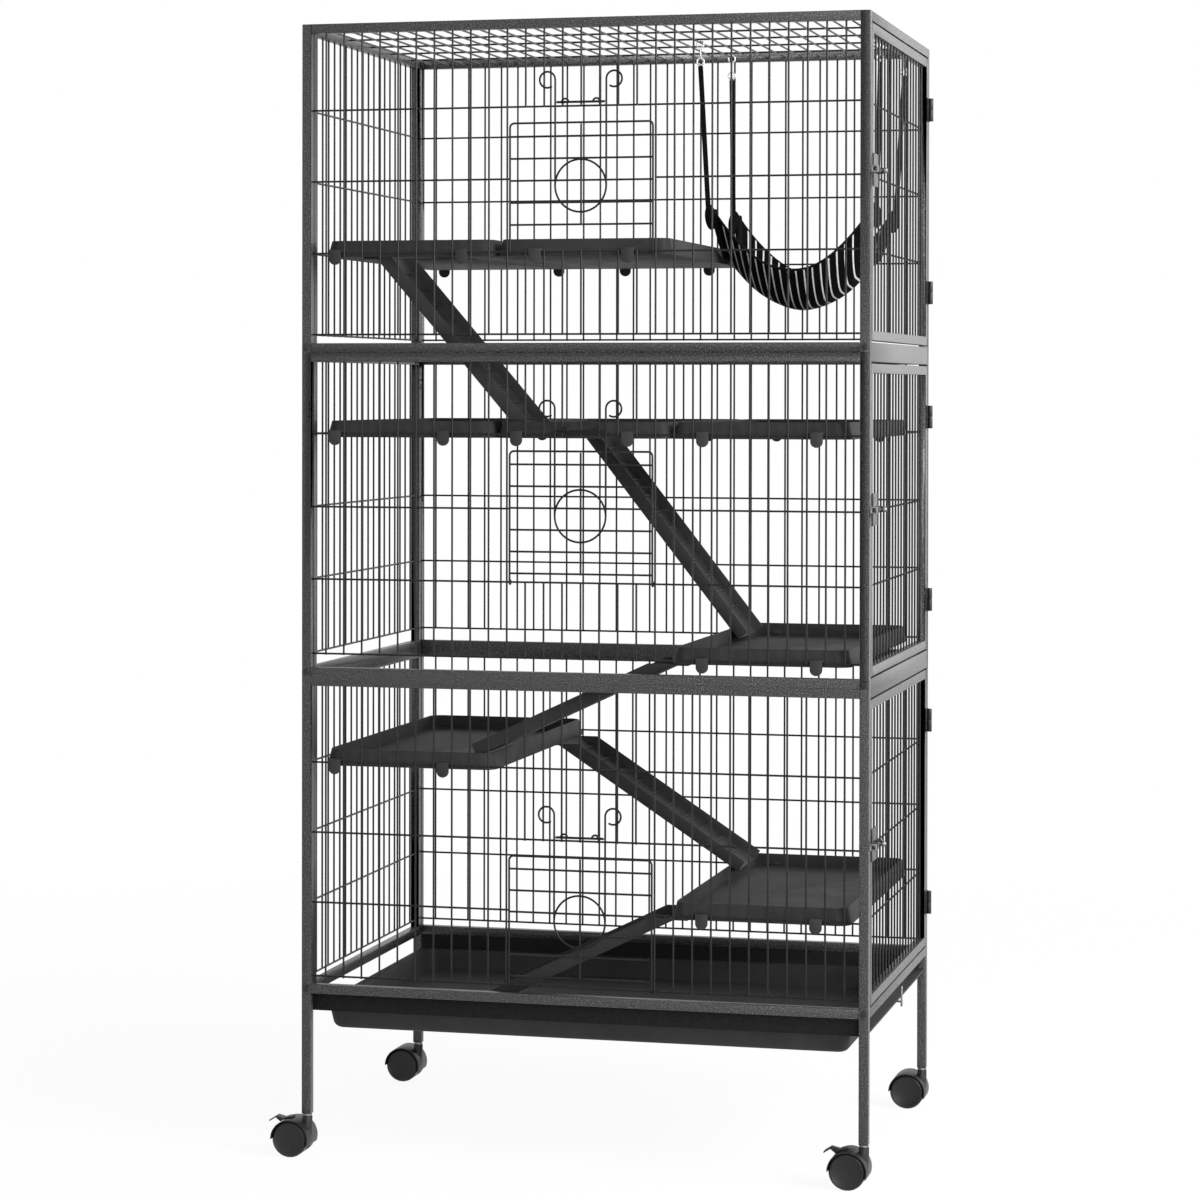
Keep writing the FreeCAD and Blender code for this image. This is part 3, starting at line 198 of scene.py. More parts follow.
floor_mesh.materials.append(floor_paint)

# The frame is square steel tube with small rounded edges, welded into panels and bolted at the seams.
# It is coated with dark grey hammered paint, which has fine dimples and paler flecks.
tube_edge = 0.0012
hammer_scale = 420.0
fleck_scale = 700.0
hammer_depth = 0.0003
merge_distance = 1e-6
flat_angle = math.radians(1.0)
bevel_angle = math.radians(40.0)
crease_angle = math.radians(35.0)
cage_nodes = frame["nodes"]
body_of_node = {}
for body, members in frame["record"]["behaviour"]["bodies"].items():
    for member in members:
        body_of_node[member] = body
tiers = ("lower", "middle", "upper")


def surface(name, roughness, metallic=0.0, gloss=0.25):
    """New material with its shader and the object's own coordinates."""
    made = bpy.data.materials.new(name)
    made.use_nodes = True
    tree = made.node_tree
    shader = tree.nodes["Principled BSDF"]
    shader.inputs["Roughness"].default_value = roughness
    shader.inputs["Metallic"].default_value = metallic
    shader.inputs["Specular IOR Level"].default_value = gloss
    place = tree.nodes.new("ShaderNodeTexCoord")
    return made, tree, shader, place.outputs["Object"]


def noise(tree, coords, scale, detail=3.0):
    """Fine uneven grain over a surface."""
    grain = tree.nodes.new("ShaderNodeTexNoise")
    grain.inputs["Scale"].default_value = scale
    grain.inputs["Detail"].default_value = detail
    tree.links.new(coords, grain.inputs["Vector"])
    return grain.outputs["Fac"]


def ramp(tree, value, stops):
    """Grey ramp through (position, grey) stops."""
    blend = tree.nodes.new("ShaderNodeValToRGB")
    band = blend.color_ramp
    while len(band.elements) < len(stops):
        band.elements.new(0.5)
    for element, (position, grey) in zip(band.elements, stops):
        element.position = position
        element.color = (grey, grey, grey, 1.0)
    tree.links.new(value, blend.inputs["Fac"])
    return blend.outputs["Color"]


def relief(tree, shader, height, depth, strength=1.0):
    """Raise a surface by a height pattern, to a depth in metres."""
    bump = tree.nodes.new("ShaderNodeBump")
    bump.inputs["Strength"].default_value = strength
    bump.inputs["Distance"].default_value = depth
    tree.links.new(height, bump.inputs["Height"])
    tree.links.new(bump.outputs["Normal"], shader.inputs["Normal"])


hammered, hammered_tree, hammered_shader, hammered_at = surface("hammered_grey_paint", 0.34, gloss=0.42)
dimples = hammered_tree.nodes.new("ShaderNodeTexVoronoi")
dimples.feature = "SMOOTH_F1"
dimples.inputs["Scale"].default_value = hammer_scale
hammered_tree.links.new(hammered_at, dimples.inputs["Vector"])
flecks = noise(hammered_tree, hammered_at, fleck_scale)
fleck_colour = ramp(hammered_tree, flecks, [(0.35, 0.008), (0.55, 0.026), (0.70, 0.19)])
hammered_tree.links.new(fleck_colour, hammered_shader.inputs["Base Color"])
hammered_rough = ramp(hammered_tree, flecks, [(0.3, 0.28), (0.7, 0.42)])
hammered_tree.links.new(hammered_rough, hammered_shader.inputs["Roughness"])
relief(hammered_tree, hammered_shader, dimples.outputs["Distance"], depth=hammer_depth, strength=0.75)


def plain_mesh(builder, name):
    """Turn a modified helper object into a plain mesh object at the origin."""
    bpy.context.view_layer.update()
    ready = builder.evaluated_get(bpy.context.evaluated_depsgraph_get())
    mesh = bpy.data.meshes.new_from_object(ready)
    mesh.name = name
    piece = bpy.data.objects.new(name, mesh)
    scene.collection.objects.link(piece)
    bpy.data.objects.remove(builder)
    return piece


def stands_for(piece, node):
    """The piece takes the place of a node and moves with its body."""
    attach(piece, body_of_node[node])
    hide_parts(node)


def merged_copy(node):
    """Copy of a node's triangles with shared corners joined and flat faces made whole."""
    body = bmesh.new()
    body.from_mesh(cage_nodes[node].data)
    bmesh.ops.remove_doubles(body, verts=body.verts, dist=merge_distance)
    bmesh.ops.dissolve_limit(body, angle_limit=flat_angle, verts=body.verts, edges=body.edges)
    return body


def finish_edges(node, body, material, edge, steps=2):
    """Round the sharp edges of a node's copy, inside the node's own box, and coat it."""
    mesh = bpy.data.meshes.new(node + "_finished")
    body.to_mesh(mesh)
    body.free()
    mesh.materials.clear()
    mesh.materials.append(material)
    for face in mesh.polygons:
        face.material_index = 0
    builder = bpy.data.objects.new(node + "_builder", mesh)
    scene.collection.objects.link(builder)
    bevel = builder.modifiers.new("rounded_edges", "BEVEL")
    bevel.width = edge
    bevel.segments = steps
    bevel.limit_method = "ANGLE"
    bevel.angle_limit = bevel_angle
    piece = plain_mesh(builder, node + "_finished")
    low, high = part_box(node)
    for corner in piece.data.vertices:
        for axis in range(3):
            corner.co[axis] = min(max(corner.co[axis], low[axis]), high[axis])
    piece.data.shade_smooth()
    piece.data.set_sharp_from_angle(angle=crease_angle)
    stands_for(piece, node)


def soft_edged(node, material, edge, steps=2):
    """Show a node with its sharp edges rounded, in a finished material."""
    finish_edges(node, merged_copy(node), material, edge, steps)


tube_nodes = ["front_frame", "back_frame", "left_frame", "right_frame"]
tube_nodes.extend(tier + "_door_frame" for tier in tiers)
for tube_node in tube_nodes:
    soft_edged(tube_node, hammered, tube_edge)

# The panels are filled with straight round steel wires, welded where they cross, under thin black paint.
# Each wire follows the middle of its place in the frame, as a round bar swept along a line.
wire_radius = 0.0014
wire_sides = 10
wire_crease = math.radians(50.0)
wire_grain_scale = 260.0
closing_gap = 1e-7
wire_black, wire_tree, wire_shader, wire_at = surface("black_wire_paint", 0.34, gloss=0.2)
wire_flecks = noise(wire_tree, wire_at, wire_grain_scale)
wire_colour = ramp(wire_tree, wire_flecks, [(0.3, 0.006), (0.75, 0.015)])
wire_tree.links.new(wire_colour, wire_shader.inputs["Base Color"])
relief(wire_tree, wire_shader, wire_flecks, depth=0.0001, strength=0.3)


def swept_wire_tree(name, material):
    """Node tree that sweeps a round section along every edge path of a mesh."""
    tree = bpy.data.node_groups.new(name, "GeometryNodeTree")
    tree.interface.new_socket("Geometry", in_out="INPUT", socket_type="NodeSocketGeometry")
    radius = tree.interface.new_socket("Wire radius", in_out="INPUT", socket_type="NodeSocketFloat")
    sides = tree.interface.new_socket("Sides", in_out="INPUT", socket_type="NodeSocketInt")
    tree.interface.new_socket("Geometry", in_out="OUTPUT", socket_type="NodeSocketGeometry")
    start = tree.nodes.new("NodeGroupInput")
    curve = tree.nodes.new("GeometryNodeMeshToCurve")
    section = tree.nodes.new("GeometryNodeCurvePrimitiveCircle")
    sweep = tree.nodes.new("GeometryNodeCurveToMesh")
    sweep.inputs["Fill Caps"].default_value = True
    smooth = tree.nodes.new("GeometryNodeSetShadeSmooth")
    realize = tree.nodes.new("GeometryNodeRealizeInstances")
    coat = tree.nodes.new("GeometryNodeSetMaterial")
    coat.inputs["Material"].default_value = material
    end = tree.nodes.new("NodeGroupOutput")
    tree.links.new(start.outputs["Geometry"], curve.inputs["Mesh"])
    tree.links.new(start.outputs["Wire radius"], section.inputs["Radius"])
    tree.links.new(start.outputs["Sides"], section.inputs["Resolution"])
    tree.links.new(curve.outputs["Curve"], sweep.inputs["Curve"])
    tree.links.new(section.outputs["Curve"], sweep.inputs["Profile Curve"])
    tree.links.new(sweep.outputs["Mesh"], smooth.inputs["Geometry"])
    tree.links.new(smooth.outputs["Geometry"], realize.inputs["Geometry"])
    tree.links.new(realize.outputs["Geometry"], coat.inputs["Geometry"])
    tree.links.new(coat.outputs["Geometry"], end.inputs["Geometry"])
    return tree, radius.identifier, sides.identifier


def swept_wires(name, paths, tree_parts, radius):
    """Object of round wires along paths; a path whose last point is its first is closed."""
    tree, radius_id, sides_id = tree_parts
    points = []
    edges = []
    for path in paths:
        closed = (Vector(path[0]) - Vector(path[-1])).length < closing_gap
        used = path[:-1] if closed else path
        first = len(points)
        points.extend(used)
        edges.extend((first + step, first + step + 1) for step in range(len(used) - 1))
        if closed:
            edges.append((first + len(used) - 1, first))
    mesh = bpy.data.meshes.new(name + "_paths")
    mesh.from_pydata([tuple(point) for point in points], edges, [])
    builder = bpy.data.objects.new(name + "_paths", mesh)
    scene.collection.objects.link(builder)
    modifier = builder.modifiers.new("swept_wire", "NODES")
    modifier.node_group = tree
    modifier[radius_id] = radius
    modifier[sides_id] = wire_sides
    piece = plain_mesh(builder, name)
    piece.data.set_sharp_from_angle(angle=wire_crease)
    return piece


def separate_solids(node):
    """Corner points of each separate solid in a node."""
    body = bmesh.new()
    body.from_mesh(cage_nodes[node].data)
    bmesh.ops.remove_doubles(body, verts=body.verts, dist=merge_distance)
    waiting = set(body.verts)
    solids = []
    while waiting:
        seed = waiting.pop()
        group = [seed]
        reach = [seed]
        while reach:
            corner = reach.pop()
            for edge in corner.link_edges:
                other = edge.other_vert(corner)
                if other in waiting:
                    waiting.discard(other)
                    group.append(other)
                    reach.append(other)
        solids.append([corner.co.copy() for corner in group])
    body.free()
    return solids


def span(points):
    """Lowest and highest corners of the box round some points."""
    low = Vector(min(point[axis] for point in points) for axis in range(3))
    high = Vector(max(point[axis] for point in points) for axis in range(3))
    return low, high


def middle_line(points):
    """Straight line down the middle of a bar that lies along one axis."""
    low, high = span(points)
    size = high - low
    axis = max(range(3), key=lambda index: size[index])
    start = (low + high) / 2
    end = start.copy()
    start[axis] = low[axis]
    end[axis] = high[axis]
    return start, end


black_wire_sweep = swept_wire_tree("swept_black_wire", wire_black)
wire_nodes = ["front_wires", "back_wires", "left_wires", "roof_wires"]
wire_nodes.extend(tier + "_door_wires" for tier in tiers)
for wire_node in wire_nodes:
    bars = [middle_line(solid) for solid in separate_solids(wire_node)]
    panel = swept_wires(wire_node + "_round", bars, black_wire_sweep, wire_radius)
    stands_for(panel, wire_node)

# Each small front door is one wire bent round a frame, with an eye at each foot that turns on a panel wire.
# Rows of the same wire are welded across it, with one upright in the middle.
door_wire_radius = 0.00145
corner_steps = 6
eye_steps = 20
corner_radius = 0.006
eye_turn = math.radians(330.0)
joint_places = {joint["name"]: Vector(joint["pos_m"]) for joint in frame["joints"] if "pos_m" in joint}


def arc(centre, across, rise, radius, start, end, steps):
    """Points on an arc in the plane of two unit directions, from start to end in radians."""
    points = []
    for step in range(steps + 1):
        angle = start + (end - start) * step / steps
        points.append(centre + across * (radius * math.cos(angle)) + rise * (radius * math.sin(angle)))
    return points


right = Vector((1.0, 0.0, 0.0))
back = Vector((0.0, 1.0, 0.0))
up = Vector((0.0, 0.0, 1.0))


def half_door_frame(side, hinge, middle_x, reach, door_y, top_z):
    """From the end of one eye, up the side and round the top corner."""
    x = middle_x + side * reach
    pivot = Vector((x, hinge.y, hinge.z))
    eye_radius = abs(door_y - hinge.y)
    points = arc(pivot, -back, up, eye_radius, -eye_turn, 0.0, eye_steps)
    corner = Vector((x - side * corner_radius, door_y, top_z - corner_radius))
    points.extend(arc(corner, right * side, up, corner_radius, 0.0, math.pi / 2, corner_steps))
    return points


for tier in tiers:
    node = tier + "_small_door"
    low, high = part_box(node)
    hinge = joint_places[tier + "_hatch_hinge"]
    middle_x = (low.x + high.x) / 2
    reach = (high.x - low.x) / 2 - wire_radius
    top_z = high.z - wire_radius
    rows = []
    for solid in separate_solids(node):
        solid_low, solid_high = span(solid)
        if solid_high.z - solid_low.z < corner_radius:
            rows.append(middle_line(solid))
        elif solid_high.x - solid_low.x < corner_radius:
            middle_upright = middle_line(solid)
    door_y = middle_upright[0].y
    left_half = half_door_frame(-1, hinge, middle_x, reach, door_y, top_z)
    right_half = half_door_frame(1, hinge, middle_x, reach, door_y, top_z)
    paths = [left_half + right_half[::-1], middle_upright]
    paths.extend(rows)
    stands_for(swept_wires(node + "_round", paths, black_wire_sweep, door_wire_radius), node)

# A spring wire on each small door closes in a ring, with two arms that end in curled finger grips.
# Above it a short keeper bar hangs by two eyes on the panel's bars, and the arms snap past its ends.
# Two small loops of the same wire are welded to the top of each keeper bar.
spring_black, spring_tree, spring_shader, spring_at = surface("black_spring_wire", 0.35, gloss=0.15)
spring_flecks = noise(spring_tree, spring_at, wire_grain_scale)
spring_colour = ramp(spring_tree, spring_flecks, [(0.3, 0.004), (0.75, 0.012)])
spring_tree.links.new(spring_colour, spring_shader.inputs["Base Color"])
spring_wire_sweep = swept_wire_tree("swept_spring_wire", spring_black)
arm_reach = 0.036
curl_radius = 0.011
keeper_edge = 0.0005
ring_steps = 48
curl_steps = 28
curl_turn = math.radians(305.0)
for tier in tiers:
    node = tier + "_catch_spring"
    low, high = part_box(node)
    middle_x = (low.x + high.x) / 2
    spring_y = (low.y + high.y) / 2
    ring_centre = Vector((middle_x, spring_y, low.z + wire_radius + arm_reach))
    paths = [arc(ring_centre, right, up, arm_reach, 0.0, 2 * math.pi, ring_steps)]
    for side in (-1, 1):
        arm_x = middle_x + side * arm_reach
        curl_z = high.z - wire_radius - curl_radius
        curl_middle = Vector((arm_x + side * curl_radius, spring_y, curl_z))
        curl = arc(curl_middle, -right * side, up, curl_radius, 0.0, curl_turn, curl_steps)
        paths.append([Vector((arm_x, spring_y, ring_centre.z))] + curl)
    stands_for(swept_wires(node + "_round", paths, spring_wire_sweep, wire_radius), node)
soft_edged("catch_keepers", spring_black, keeper_edge)
keeper_loop_place = 0.022
keeper_loop_radius = 0.0047
keeper_loop_steps = 14
keeper_loops = []
for solid in separate_solids("catch_keepers"):
    low, high = span(solid)
    bar_middle = Vector(((low.x + high.x) / 2, low.y + wire_radius, (low.z + high.z) / 2))
    for side in (-1, 1):
        loop_middle = bar_middle + right * (side * keeper_loop_place)
        keeper_loops.append(arc(loop_middle, right, up, keeper_loop_radius, 0.0, math.pi, keeper_loop_steps))
keeper_eyes = swept_wires("keeper_loops", keeper_loops, spring_wire_sweep, wire_radius)
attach(keeper_eyes, "cage")

# Hinges of folded black sheet and round pins carry the side doors on the back post.
# A plated slide bolt in two eyes shuts each door, and goes into a plated staple on the front post.
# Black bolt heads on the posts hold the tiers together at the seams.
black_metal, black_tree, black_shader, black_at = surface("black_hinge_paint", 0.35)
black_flecks = noise(black_tree, black_at, scale=180.0)
black_colour = ramp(black_tree, black_flecks, [(0.3, 0.01), (0.75, 0.022)])
black_tree.links.new(black_colour, black_shader.inputs["Base Color"])
relief(black_tree, black_shader, black_flecks, depth=0.0001, strength=0.25)

bright_metal, bright_tree, bright_shader, bright_at = surface(
    "bright_zinc_plate", 0.3, metallic=1.0, gloss=0.5
)
bright_flecks = noise(bright_tree, bright_at, scale=240.0)
bright_colour = ramp(bright_tree, bright_flecks, [(0.25, 0.15), (0.75, 0.25)])
bright_tree.links.new(bright_colour, bright_shader.inputs["Base Color"])
bright_rough = ramp(bright_tree, bright_flecks, [(0.25, 0.38), (0.8, 0.55)])
bright_tree.links.new(bright_rough, bright_shader.inputs["Roughness"])

sheet_edge = 0.0004
bolt_play = 0.97
bolt_head_edge = 0.0008
bolt_head_steps = 3
staple_reach = 0.03
soft_edged("hinge_post_leaves", black_metal, sheet_edge)
staple_corners = merged_copy("latch_keepers")
staples = bmesh.new()
for tier in tiers:
    bolt_axis = joint_places[tier + "_bolt_slide"]
    near = [corner.co for corner in staple_corners.verts if abs(corner.co.z - bolt_axis.z) < staple_reach]
    low, high = span(near)
    room = min(abs(point.z - bolt_axis.z) for point in near)
    hole_low = bolt_axis - right * room - up * room
    hole_high = bolt_axis + right * room + up * room
    rings = []
    for y in (low.y, high.y):
        for first, last in ((low, high), (hole_low, hole_high)):
            ring = [(first.x, first.z), (last.x, first.z), (last.x, last.z), (first.x, last.z)]
            rings.append([staples.verts.new((x, y, z)) for x, z in ring])
    front_rim, front_hole, back_rim, back_hole = rings
    for here in range(4):
        there = (here + 1) % 4
        staples.faces.new((front_rim[here], front_rim[there], front_hole[there], front_hole[here]))
        staples.faces.new((back_rim[there], back_rim[here], back_hole[here], back_hole[there]))
        staples.faces.new((front_rim[there], front_rim[here], back_rim[here], back_rim[there]))
        staples.faces.new((front_hole[here], front_hole[there], back_hole[there], back_hole[here]))
staple_corners.free()
finish_edges("latch_keepers", staples, bright_metal, sheet_edge)
for tier in tiers:
    soft_edged(tier + "_door_hardware", black_metal, sheet_edge)
    bolt_node = tier + "_latch_bolt"
    bolt_axis = joint_places[tier + "_bolt_slide"]
    bolt = merged_copy(bolt_node)
    for corner in bolt.verts:
        corner.co.x = bolt_axis.x + (corner.co.x - bolt_axis.x) * bolt_play
        corner.co.z = bolt_axis.z + (corner.co.z - bolt_axis.z) * bolt_play
    finish_edges(bolt_node, bolt, bright_metal, sheet_edge)
soft_edged("frame_bolts", black_metal, bolt_head_edge, bolt_head_steps)

# Shelves and ramps are moulded in black plastic with a fine matt grain and softly rounded edges.
# Each shelf hooks over the wires by its tabs, and each ramp hangs under a shelf by two pegs.
plastic_edge = 0.0009
black_plastic, plastic_tree, plastic_shader, plastic_at = surface("matt_black_plastic", 0.6, gloss=0.14)
plastic_grain = noise(plastic_tree, plastic_at, scale=1400.0, detail=2.0)
plastic_wear = noise(plastic_tree, plastic_at, scale=24.0, detail=5.0)
plastic_colour = ramp(plastic_tree, plastic_wear, [(0.3, 0.021), (0.75, 0.031)])
plastic_tree.links.new(plastic_colour, plastic_shader.inputs["Base Color"])
plastic_rough = ramp(plastic_tree, plastic_wear, [(0.3, 0.54), (0.75, 0.68)])
plastic_tree.links.new(plastic_rough, plastic_shader.inputs["Roughness"])
relief(plastic_tree, plastic_shader, plastic_grain, depth=0.00012, strength=0.5)
moulded_nodes = [name for name in cage_nodes if name.endswith("_shelf") or name.endswith("_ramp")]
for moulded_node in sorted(moulded_nodes):
    soft_edged(moulded_node, black_plastic, plastic_edge)

# The pan is one moulding whose foot is rounded all round and whose rim slides on two black angle runners.
# A bent spring wire clip at its right end holds it under the lowest rail.
pan_foot_round = 0.009
pan_foot_steps = 6
runner_edge = 0.0005
clip_edge = 0.0004
level_gap = 1e-5
pan_body = merged_copy("pan")
pan_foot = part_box("pan")[0].z
foot_edges = []
for edge in pan_body.edges:
    at_foot = all(corner.co.z < pan_foot + level_gap for corner in edge.verts)
    if at_foot and len(edge.link_faces) == 2 and edge.calc_face_angle() > bevel_angle:
        foot_edges.append(edge)
bmesh.ops.bevel(
    pan_body,
    geom=foot_edges,
    offset=pan_foot_round,
    segments=pan_foot_steps,
    profile=0.5,
    affect="EDGES",
    clamp_overlap=True,
)
finish_edges("pan", pan_body, black_plastic, plastic_edge)
runner_black, runner_tree, runner_shader, runner_at = surface("black_runner_paint", 0.6, gloss=0.1)
runner_flecks = noise(runner_tree, runner_at, scale=300.0)
runner_colour = ramp(runner_tree, runner_flecks, [(0.3, 0.005), (0.75, 0.011)])
runner_tree.links.new(runner_colour, runner_shader.inputs["Base Color"])
soft_edged("pan_runners", runner_black, runner_edge)
soft_edged("pan_catch", bright_metal, clip_edge)

# The hammock is a striped sling, woven dark with pale lines across, hemmed all round and hung by its corners.
# It sags along its length and bellies between its long edges, with soft gathers near the ends.
# Black webbing binds its edges, and a folded ear of it stands at each corner.
cloth_steps_long = 120
cloth_steps_wide = 56
cloth_thickness = 0.0022
stripe_count = 20.0
gather_depth = 0.0022
gather_count = 3
ripple_depth = 0.0006
ripples_along = 17.0
ripples_across = 5.0
cloth_inset = 0.001
cloth_rim_drop = 0.0015
cloth_low, cloth_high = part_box("hammock")
cloth_corner = cloth_high.z - cloth_rim_drop
cloth_sag = 0.092
cloth_belly = 0.054
cloth_end_belly = 0.070
cloth_end_lean = 1 / 7
cloth_side_steepness = 2.8


def cloth_point(along, across):
    """Point of the sling; both shares run from 0 to 1, from the left and from the front."""
    bow = 1 - (2 * along - 1) ** 2
    dip = 1 - abs(2 * across - 1) ** cloth_side_steepness
    belly = cloth_end_belly + (cloth_belly - cloth_end_belly) * bow
    folds = math.sin(2 * math.pi * gather_count * across) * math.sin(math.pi * across)
    gather = gather_depth * (1 - bow) * folds
    ripple = ripple_depth * math.sin(along * ripples_along + across * ripples_across) * bow
    tuck = cloth_end_lean * (1 - 2 * along) * belly * dip
    x = cloth_low.x + cloth_inset + (cloth_high.x - cloth_low.x - 2 * cloth_inset) * along + tuck
    y = cloth_low.y + cloth_inset + (cloth_high.y - cloth_low.y - 2 * cloth_inset) * across
    return Vector((x, y, cloth_corner - cloth_sag * bow - belly * dip + gather + ripple))


cloth_mesh = bpy.data.meshes.new("hammock_cloth")
cloth_points = []
cloth_faces = []
for row in range(cloth_steps_wide + 1):
    for column in range(cloth_steps_long + 1):
        cloth_points.append(tuple(cloth_point(column / cloth_steps_long, row / cloth_steps_wide)))
stride = cloth_steps_long + 1
for row in range(cloth_steps_wide):
    for column in range(cloth_steps_long):
        corner = row * stride + column
        cloth_faces.append((corner, corner + 1, corner + 1 + stride, corner + stride))
cloth_mesh.from_pydata(cloth_points, [], cloth_faces)
cloth_map = cloth_mesh.uv_layers.new(name="weave")
for loop in cloth_mesh.loops:
    row, column = divmod(loop.vertex_index, stride)
    cloth_map.data[loop.index].uv = (column / cloth_steps_long, row / cloth_steps_wide)
cloth_builder = bpy.data.objects.new("hammock_builder", cloth_mesh)
scene.collection.objects.link(cloth_builder)
thickness = cloth_builder.modifiers.new("cloth_thickness", "SOLIDIFY")
thickness.thickness = cloth_thickness
thickness.offset = 0.0
hammock = plain_mesh(cloth_builder, "hammock_sling")
hammock.data.shade_smooth()

striped, striped_tree, striped_shader, _ = surface("striped_weave", 0.9, gloss=0.03)
weave_map = striped_tree.nodes.new("ShaderNodeUVMap")
weave_map.uv_map = "weave"
weave_split = striped_tree.nodes.new("ShaderNodeSeparateXYZ")
striped_tree.links.new(weave_map.outputs["UV"], weave_split.inputs["Vector"])


def math_node(tree, operation, first, second):
    """One step of arithmetic on sockets or plain numbers."""
    made = tree.nodes.new("ShaderNodeMath")
    made.operation = operation
    for socket, value in zip(made.inputs, (first, second)):
        if isinstance(value, float):
            socket.default_value = value
        else:
            tree.links.new(value, socket)
    return made.outputs[0]


stripe_place = math_node(striped_tree, "MULTIPLY", weave_split.outputs["X"], stripe_count)
stripe_share = math_node(striped_tree, "FRACT", stripe_place, 0.0)
weft_waves = 1100.0
warp_waves = 1700.0
stripe_black = 0.003
stripe_pale = 0.54
stripe_stops = [
    (0.0, stripe_black),
    (0.39, stripe_black),
    (0.42, stripe_pale),
    (0.57, stripe_pale),
    (0.60, stripe_black),
]
stripe_colour = ramp(striped_tree, stripe_share, stripe_stops)
striped_tree.links.new(stripe_colour, striped_shader.inputs["Base Color"])
weft_scale = math_node(striped_tree, "MULTIPLY", weave_split.outputs["Y"], weft_waves)
weft_wave = math_node(striped_tree, "SINE", weft_scale, 0.0)
warp_scale = math_node(striped_tree, "MULTIPLY", weave_split.outputs["X"], warp_waves)
warp_wave = math_node(striped_tree, "SINE", warp_scale, 0.0)
weave_height = math_node(striped_tree, "ADD", weft_wave, warp_wave)
relief(striped_tree, striped_shader, weave_height, depth=0.0002, strength=0.5)
hammock.data.materials.append(striped)

webbing_rib_scale = 220.0
black_webbing, webbing_tree, webbing_shader, webbing_at = surface("black_webbing", 0.85, gloss=0.04)
webbing_ribs = webbing_tree.nodes.new("ShaderNodeTexWave")
webbing_ribs.bands_direction = "Z"
webbing_ribs.inputs["Scale"].default_value = webbing_rib_scale
webbing_tree.links.new(webbing_at, webbing_ribs.inputs["Vector"])
webbing_colour = ramp(webbing_tree, webbing_ribs.outputs["Fac"], [(0.2, 0.003), (0.8, 0.008)])
webbing_tree.links.new(webbing_colour, webbing_shader.inputs["Base Color"])
relief(webbing_tree, webbing_shader, webbing_ribs.outputs["Fac"], depth=0.0003, strength=0.6)

hem_sweep = swept_wire_tree("swept_hem", black_webbing)
hem_radius = 0.0018
hem_steps = 60
end_binding_steps = 40
ear_segments = 24
ear_rings = 14
end_binding_radius = 0.0052
end_binding_inset = 0.014
ear_half_size = Vector((0.0085, 0.0045, 0.020))
ear_drop = 0.016
ear_outset = 0.0025
ear_lean = math.radians(25.0)
long_hems = []
for side in (0.0, 1.0):
    long_hems.append([cloth_point(step / hem_steps, side) for step in range(hem_steps + 1)])
end_hems = []
for end in (end_binding_inset, 1.0 - end_binding_inset):
    end_hems.append([cloth_point(end, step / end_binding_steps) for step in range(end_binding_steps + 1)])
hem = swept_wires("hammock_hem", long_hems, hem_sweep, hem_radius)
binding = swept_wires("hammock_end_binding", end_hems, hem_sweep, end_binding_radius)
ear_body = bmesh.new()
for end, outward in ((0.0, -right), (1.0, right)):
    for side, lean in ((0.0, ear_lean), (1.0, -ear_lean)):
        ear_top = Matrix.Translation(cloth_point(end, side) + outward * ear_outset)
        ear_hang = Matrix.Rotation(lean, 4, "X") @ Matrix.Translation(-up * ear_drop)
        ear_shape = ear_top @ ear_hang @ Matrix.Diagonal((*ear_half_size, 1.0))
        bmesh.ops.create_uvsphere(
            ear_body,
            u_segments=ear_segments,
            v_segments=ear_rings,
            radius=1.0,
            matrix=ear_shape,
        )
ear_mesh = bpy.data.meshes.new("hammock_ears")
ear_body.to_mesh(ear_mesh)
ear_body.free()
ear_mesh.materials.append(black_webbing)
ear_mesh.shade_smooth()
ears = bpy.data.objects.new("hammock_ears", ear_mesh)
scene.collection.objects.link(ears)
for edging in (hem, binding, ears):
    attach(edging, "cage")
stands_for(hammock, "hammock")

# Four flat straps of black webbing run from the sling's corners to plated snap hooks on the roof wires.
# Each strap is folded back and stitched at its lower end.
# A hook is bent from round wire: a ring for the strap, a shank and an open hook above it.
strap_steps = 24
strap_half_width = 0.0035
strap_half_thickness = 0.0009
stitched_thickness = 1.4
stitched_from = 0.03
stitched_to = 0.16
strap_mesh = bpy.data.meshes.new("hammock_webbing")
strap_points = []
strap_faces = []


def level_middle(points, height):
    """Middle of the corners that lie at one height."""
    level = [point for point in points if abs(point.z - height) < level_gap]
    low, high = span(level)
    return (low + high) / 2


for solid in separate_solids("hammock_straps"):
    low, high = span(solid)
    foot = level_middle(solid, low.z)
    top = level_middle(solid, high.z)
    for step in range(strap_steps + 1):
        share = step / strap_steps
        stitched = stitched_from < share < stitched_to
        deep = strap_half_thickness * (stitched_thickness if stitched else 1.0)
        middle = foot.lerp(top, share)
        base = len(strap_points)
        for x_side, y_side in ((-1, -1), (1, -1), (1, 1), (-1, 1)):
            strap_points.append(tuple(middle + right * (x_side * strap_half_width) + back * (y_side * deep)))
        if step == 0:
            strap_faces.append((base + 3, base + 2, base + 1, base))
            continue
        for side in range(4):
            nearby = (side + 1) % 4
            strap_faces.append((base - 4 + side, base - 4 + nearby, base + nearby, base + side))
    strap_faces.append((base, base + 1, base + 2, base + 3))
strap_mesh.from_pydata(strap_points, [], strap_faces)
strap_mesh.materials.append(black_webbing)
straps = bpy.data.objects.new("hammock_webbing", strap_mesh)
scene.collection.objects.link(straps)
stands_for(straps, "hammock_straps")

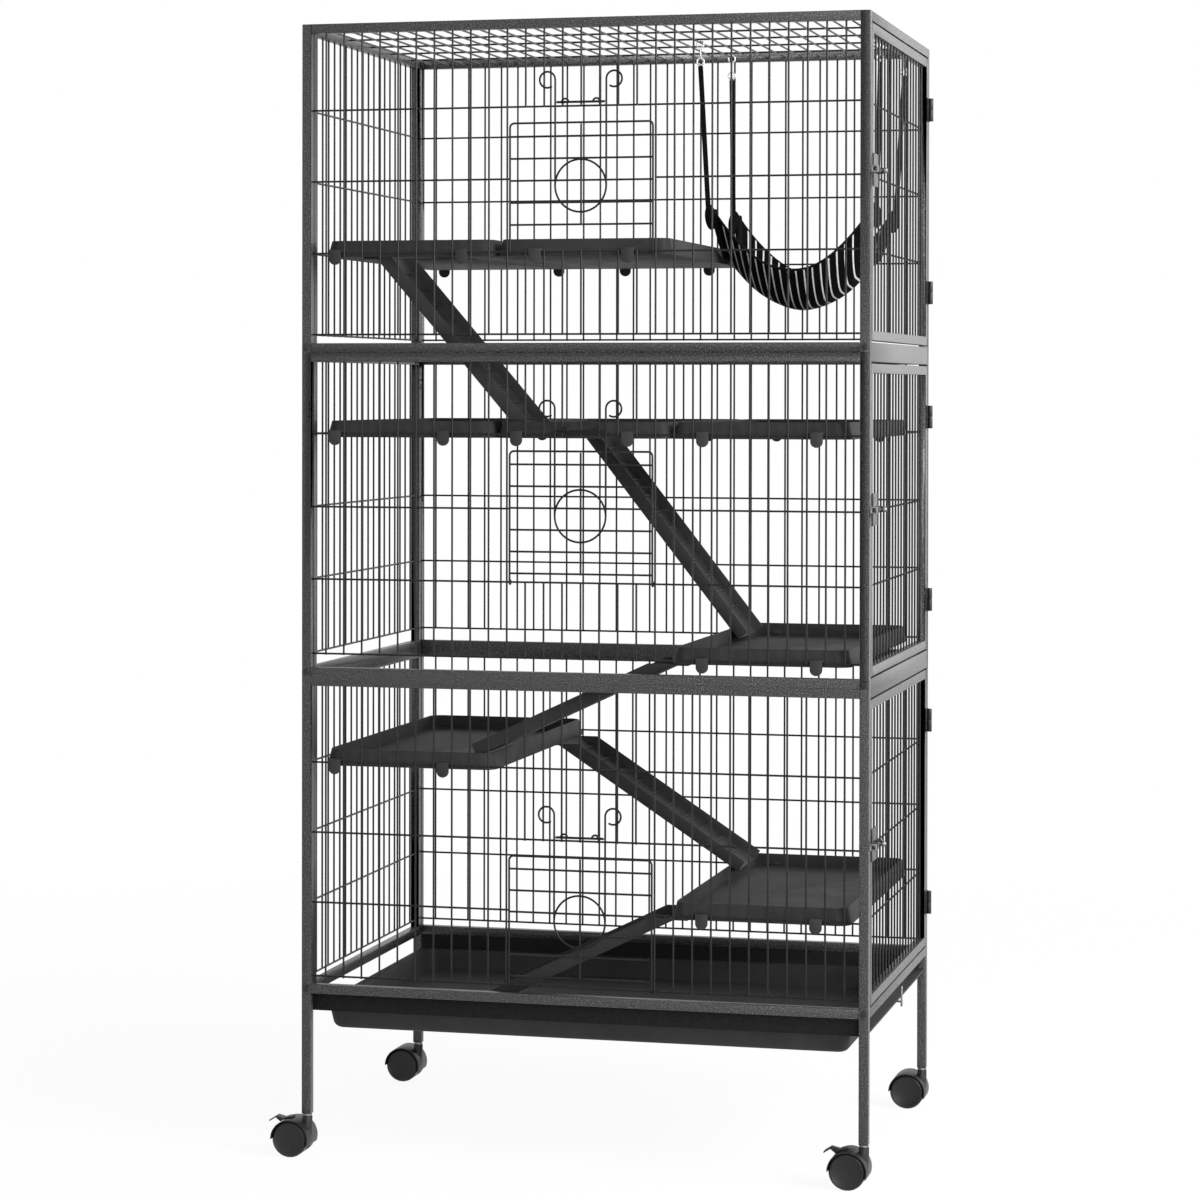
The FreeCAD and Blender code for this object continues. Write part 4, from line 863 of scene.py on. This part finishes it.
snap_wire = 0.0014
snap_steps = 30
hook_end = 1.38 * math.pi
nickel, nickel_tree, nickel_shader, nickel_at = surface("nickel_plate", 0.18, metallic=1.0, gloss=0.5)
nickel_haze = noise(nickel_tree, nickel_at, scale=300.0)
nickel_colour = ramp(nickel_tree, nickel_haze, [(0.3, 0.72), (0.7, 0.86)])
nickel_tree.links.new(nickel_colour, nickel_shader.inputs["Base Color"])
snap_sweep = swept_wire_tree("swept_snap_hook", nickel)
snap_paths = []
for solid in separate_solids("snap_hooks"):
    low, high = span(solid)
    ring_radius = (high.x - low.x) / 2 - snap_wire
    x = (low.x + high.x) / 2
    y = (low.y + high.y) / 2
    upper_ring = Vector((x, y, high.z - snap_wire - ring_radius))
    lower_ring = Vector((x, y, low.z + snap_wire + ring_radius))
    snap_paths.append(arc(upper_ring, right, up, ring_radius, -math.pi / 2, hook_end, snap_steps))
    snap_paths.append(arc(lower_ring, right, up, ring_radius, 0.0, 2 * math.pi, snap_steps))
    shank_top = upper_ring.z - ring_radius
    shank_foot = lower_ring.z + ring_radius
    snap_paths.append([Vector((x, y, shank_top)), Vector((x, y, shank_foot))])
stands_for(swept_wires("snap_hooks_round", snap_paths, snap_sweep, snap_wire), "snap_hooks")

# Each caster has two moulded wheels under a plastic hood, on a steel stem in a plated collar.
# The two in front carry a brake lever that turns over the hood.
hood_edge = 0.0004
lever_edge = 0.0005
collar_edge = 0.0005
caster_black, caster_tree, caster_shader, caster_at = surface("black_caster_plastic", 0.4)
caster_grain = noise(caster_tree, caster_at, scale=320.0)
caster_colour = ramp(caster_tree, caster_grain, [(0.3, 0.009), (0.75, 0.016)])
caster_tree.links.new(caster_colour, caster_shader.inputs["Base Color"])
relief(caster_tree, caster_shader, caster_grain, depth=0.00012, strength=0.3)
for corner_name in ("front_left", "front_right", "back_left", "back_right"):
    soft_edged(corner_name + "_caster", caster_black, hood_edge)
    soft_edged(corner_name + "_wheels", caster_black, hood_edge)
    if corner_name.startswith("front"):
        soft_edged(corner_name + "_brake", caster_black, lever_edge)
soft_edged("caster_collars", bright_metal, collar_edge)
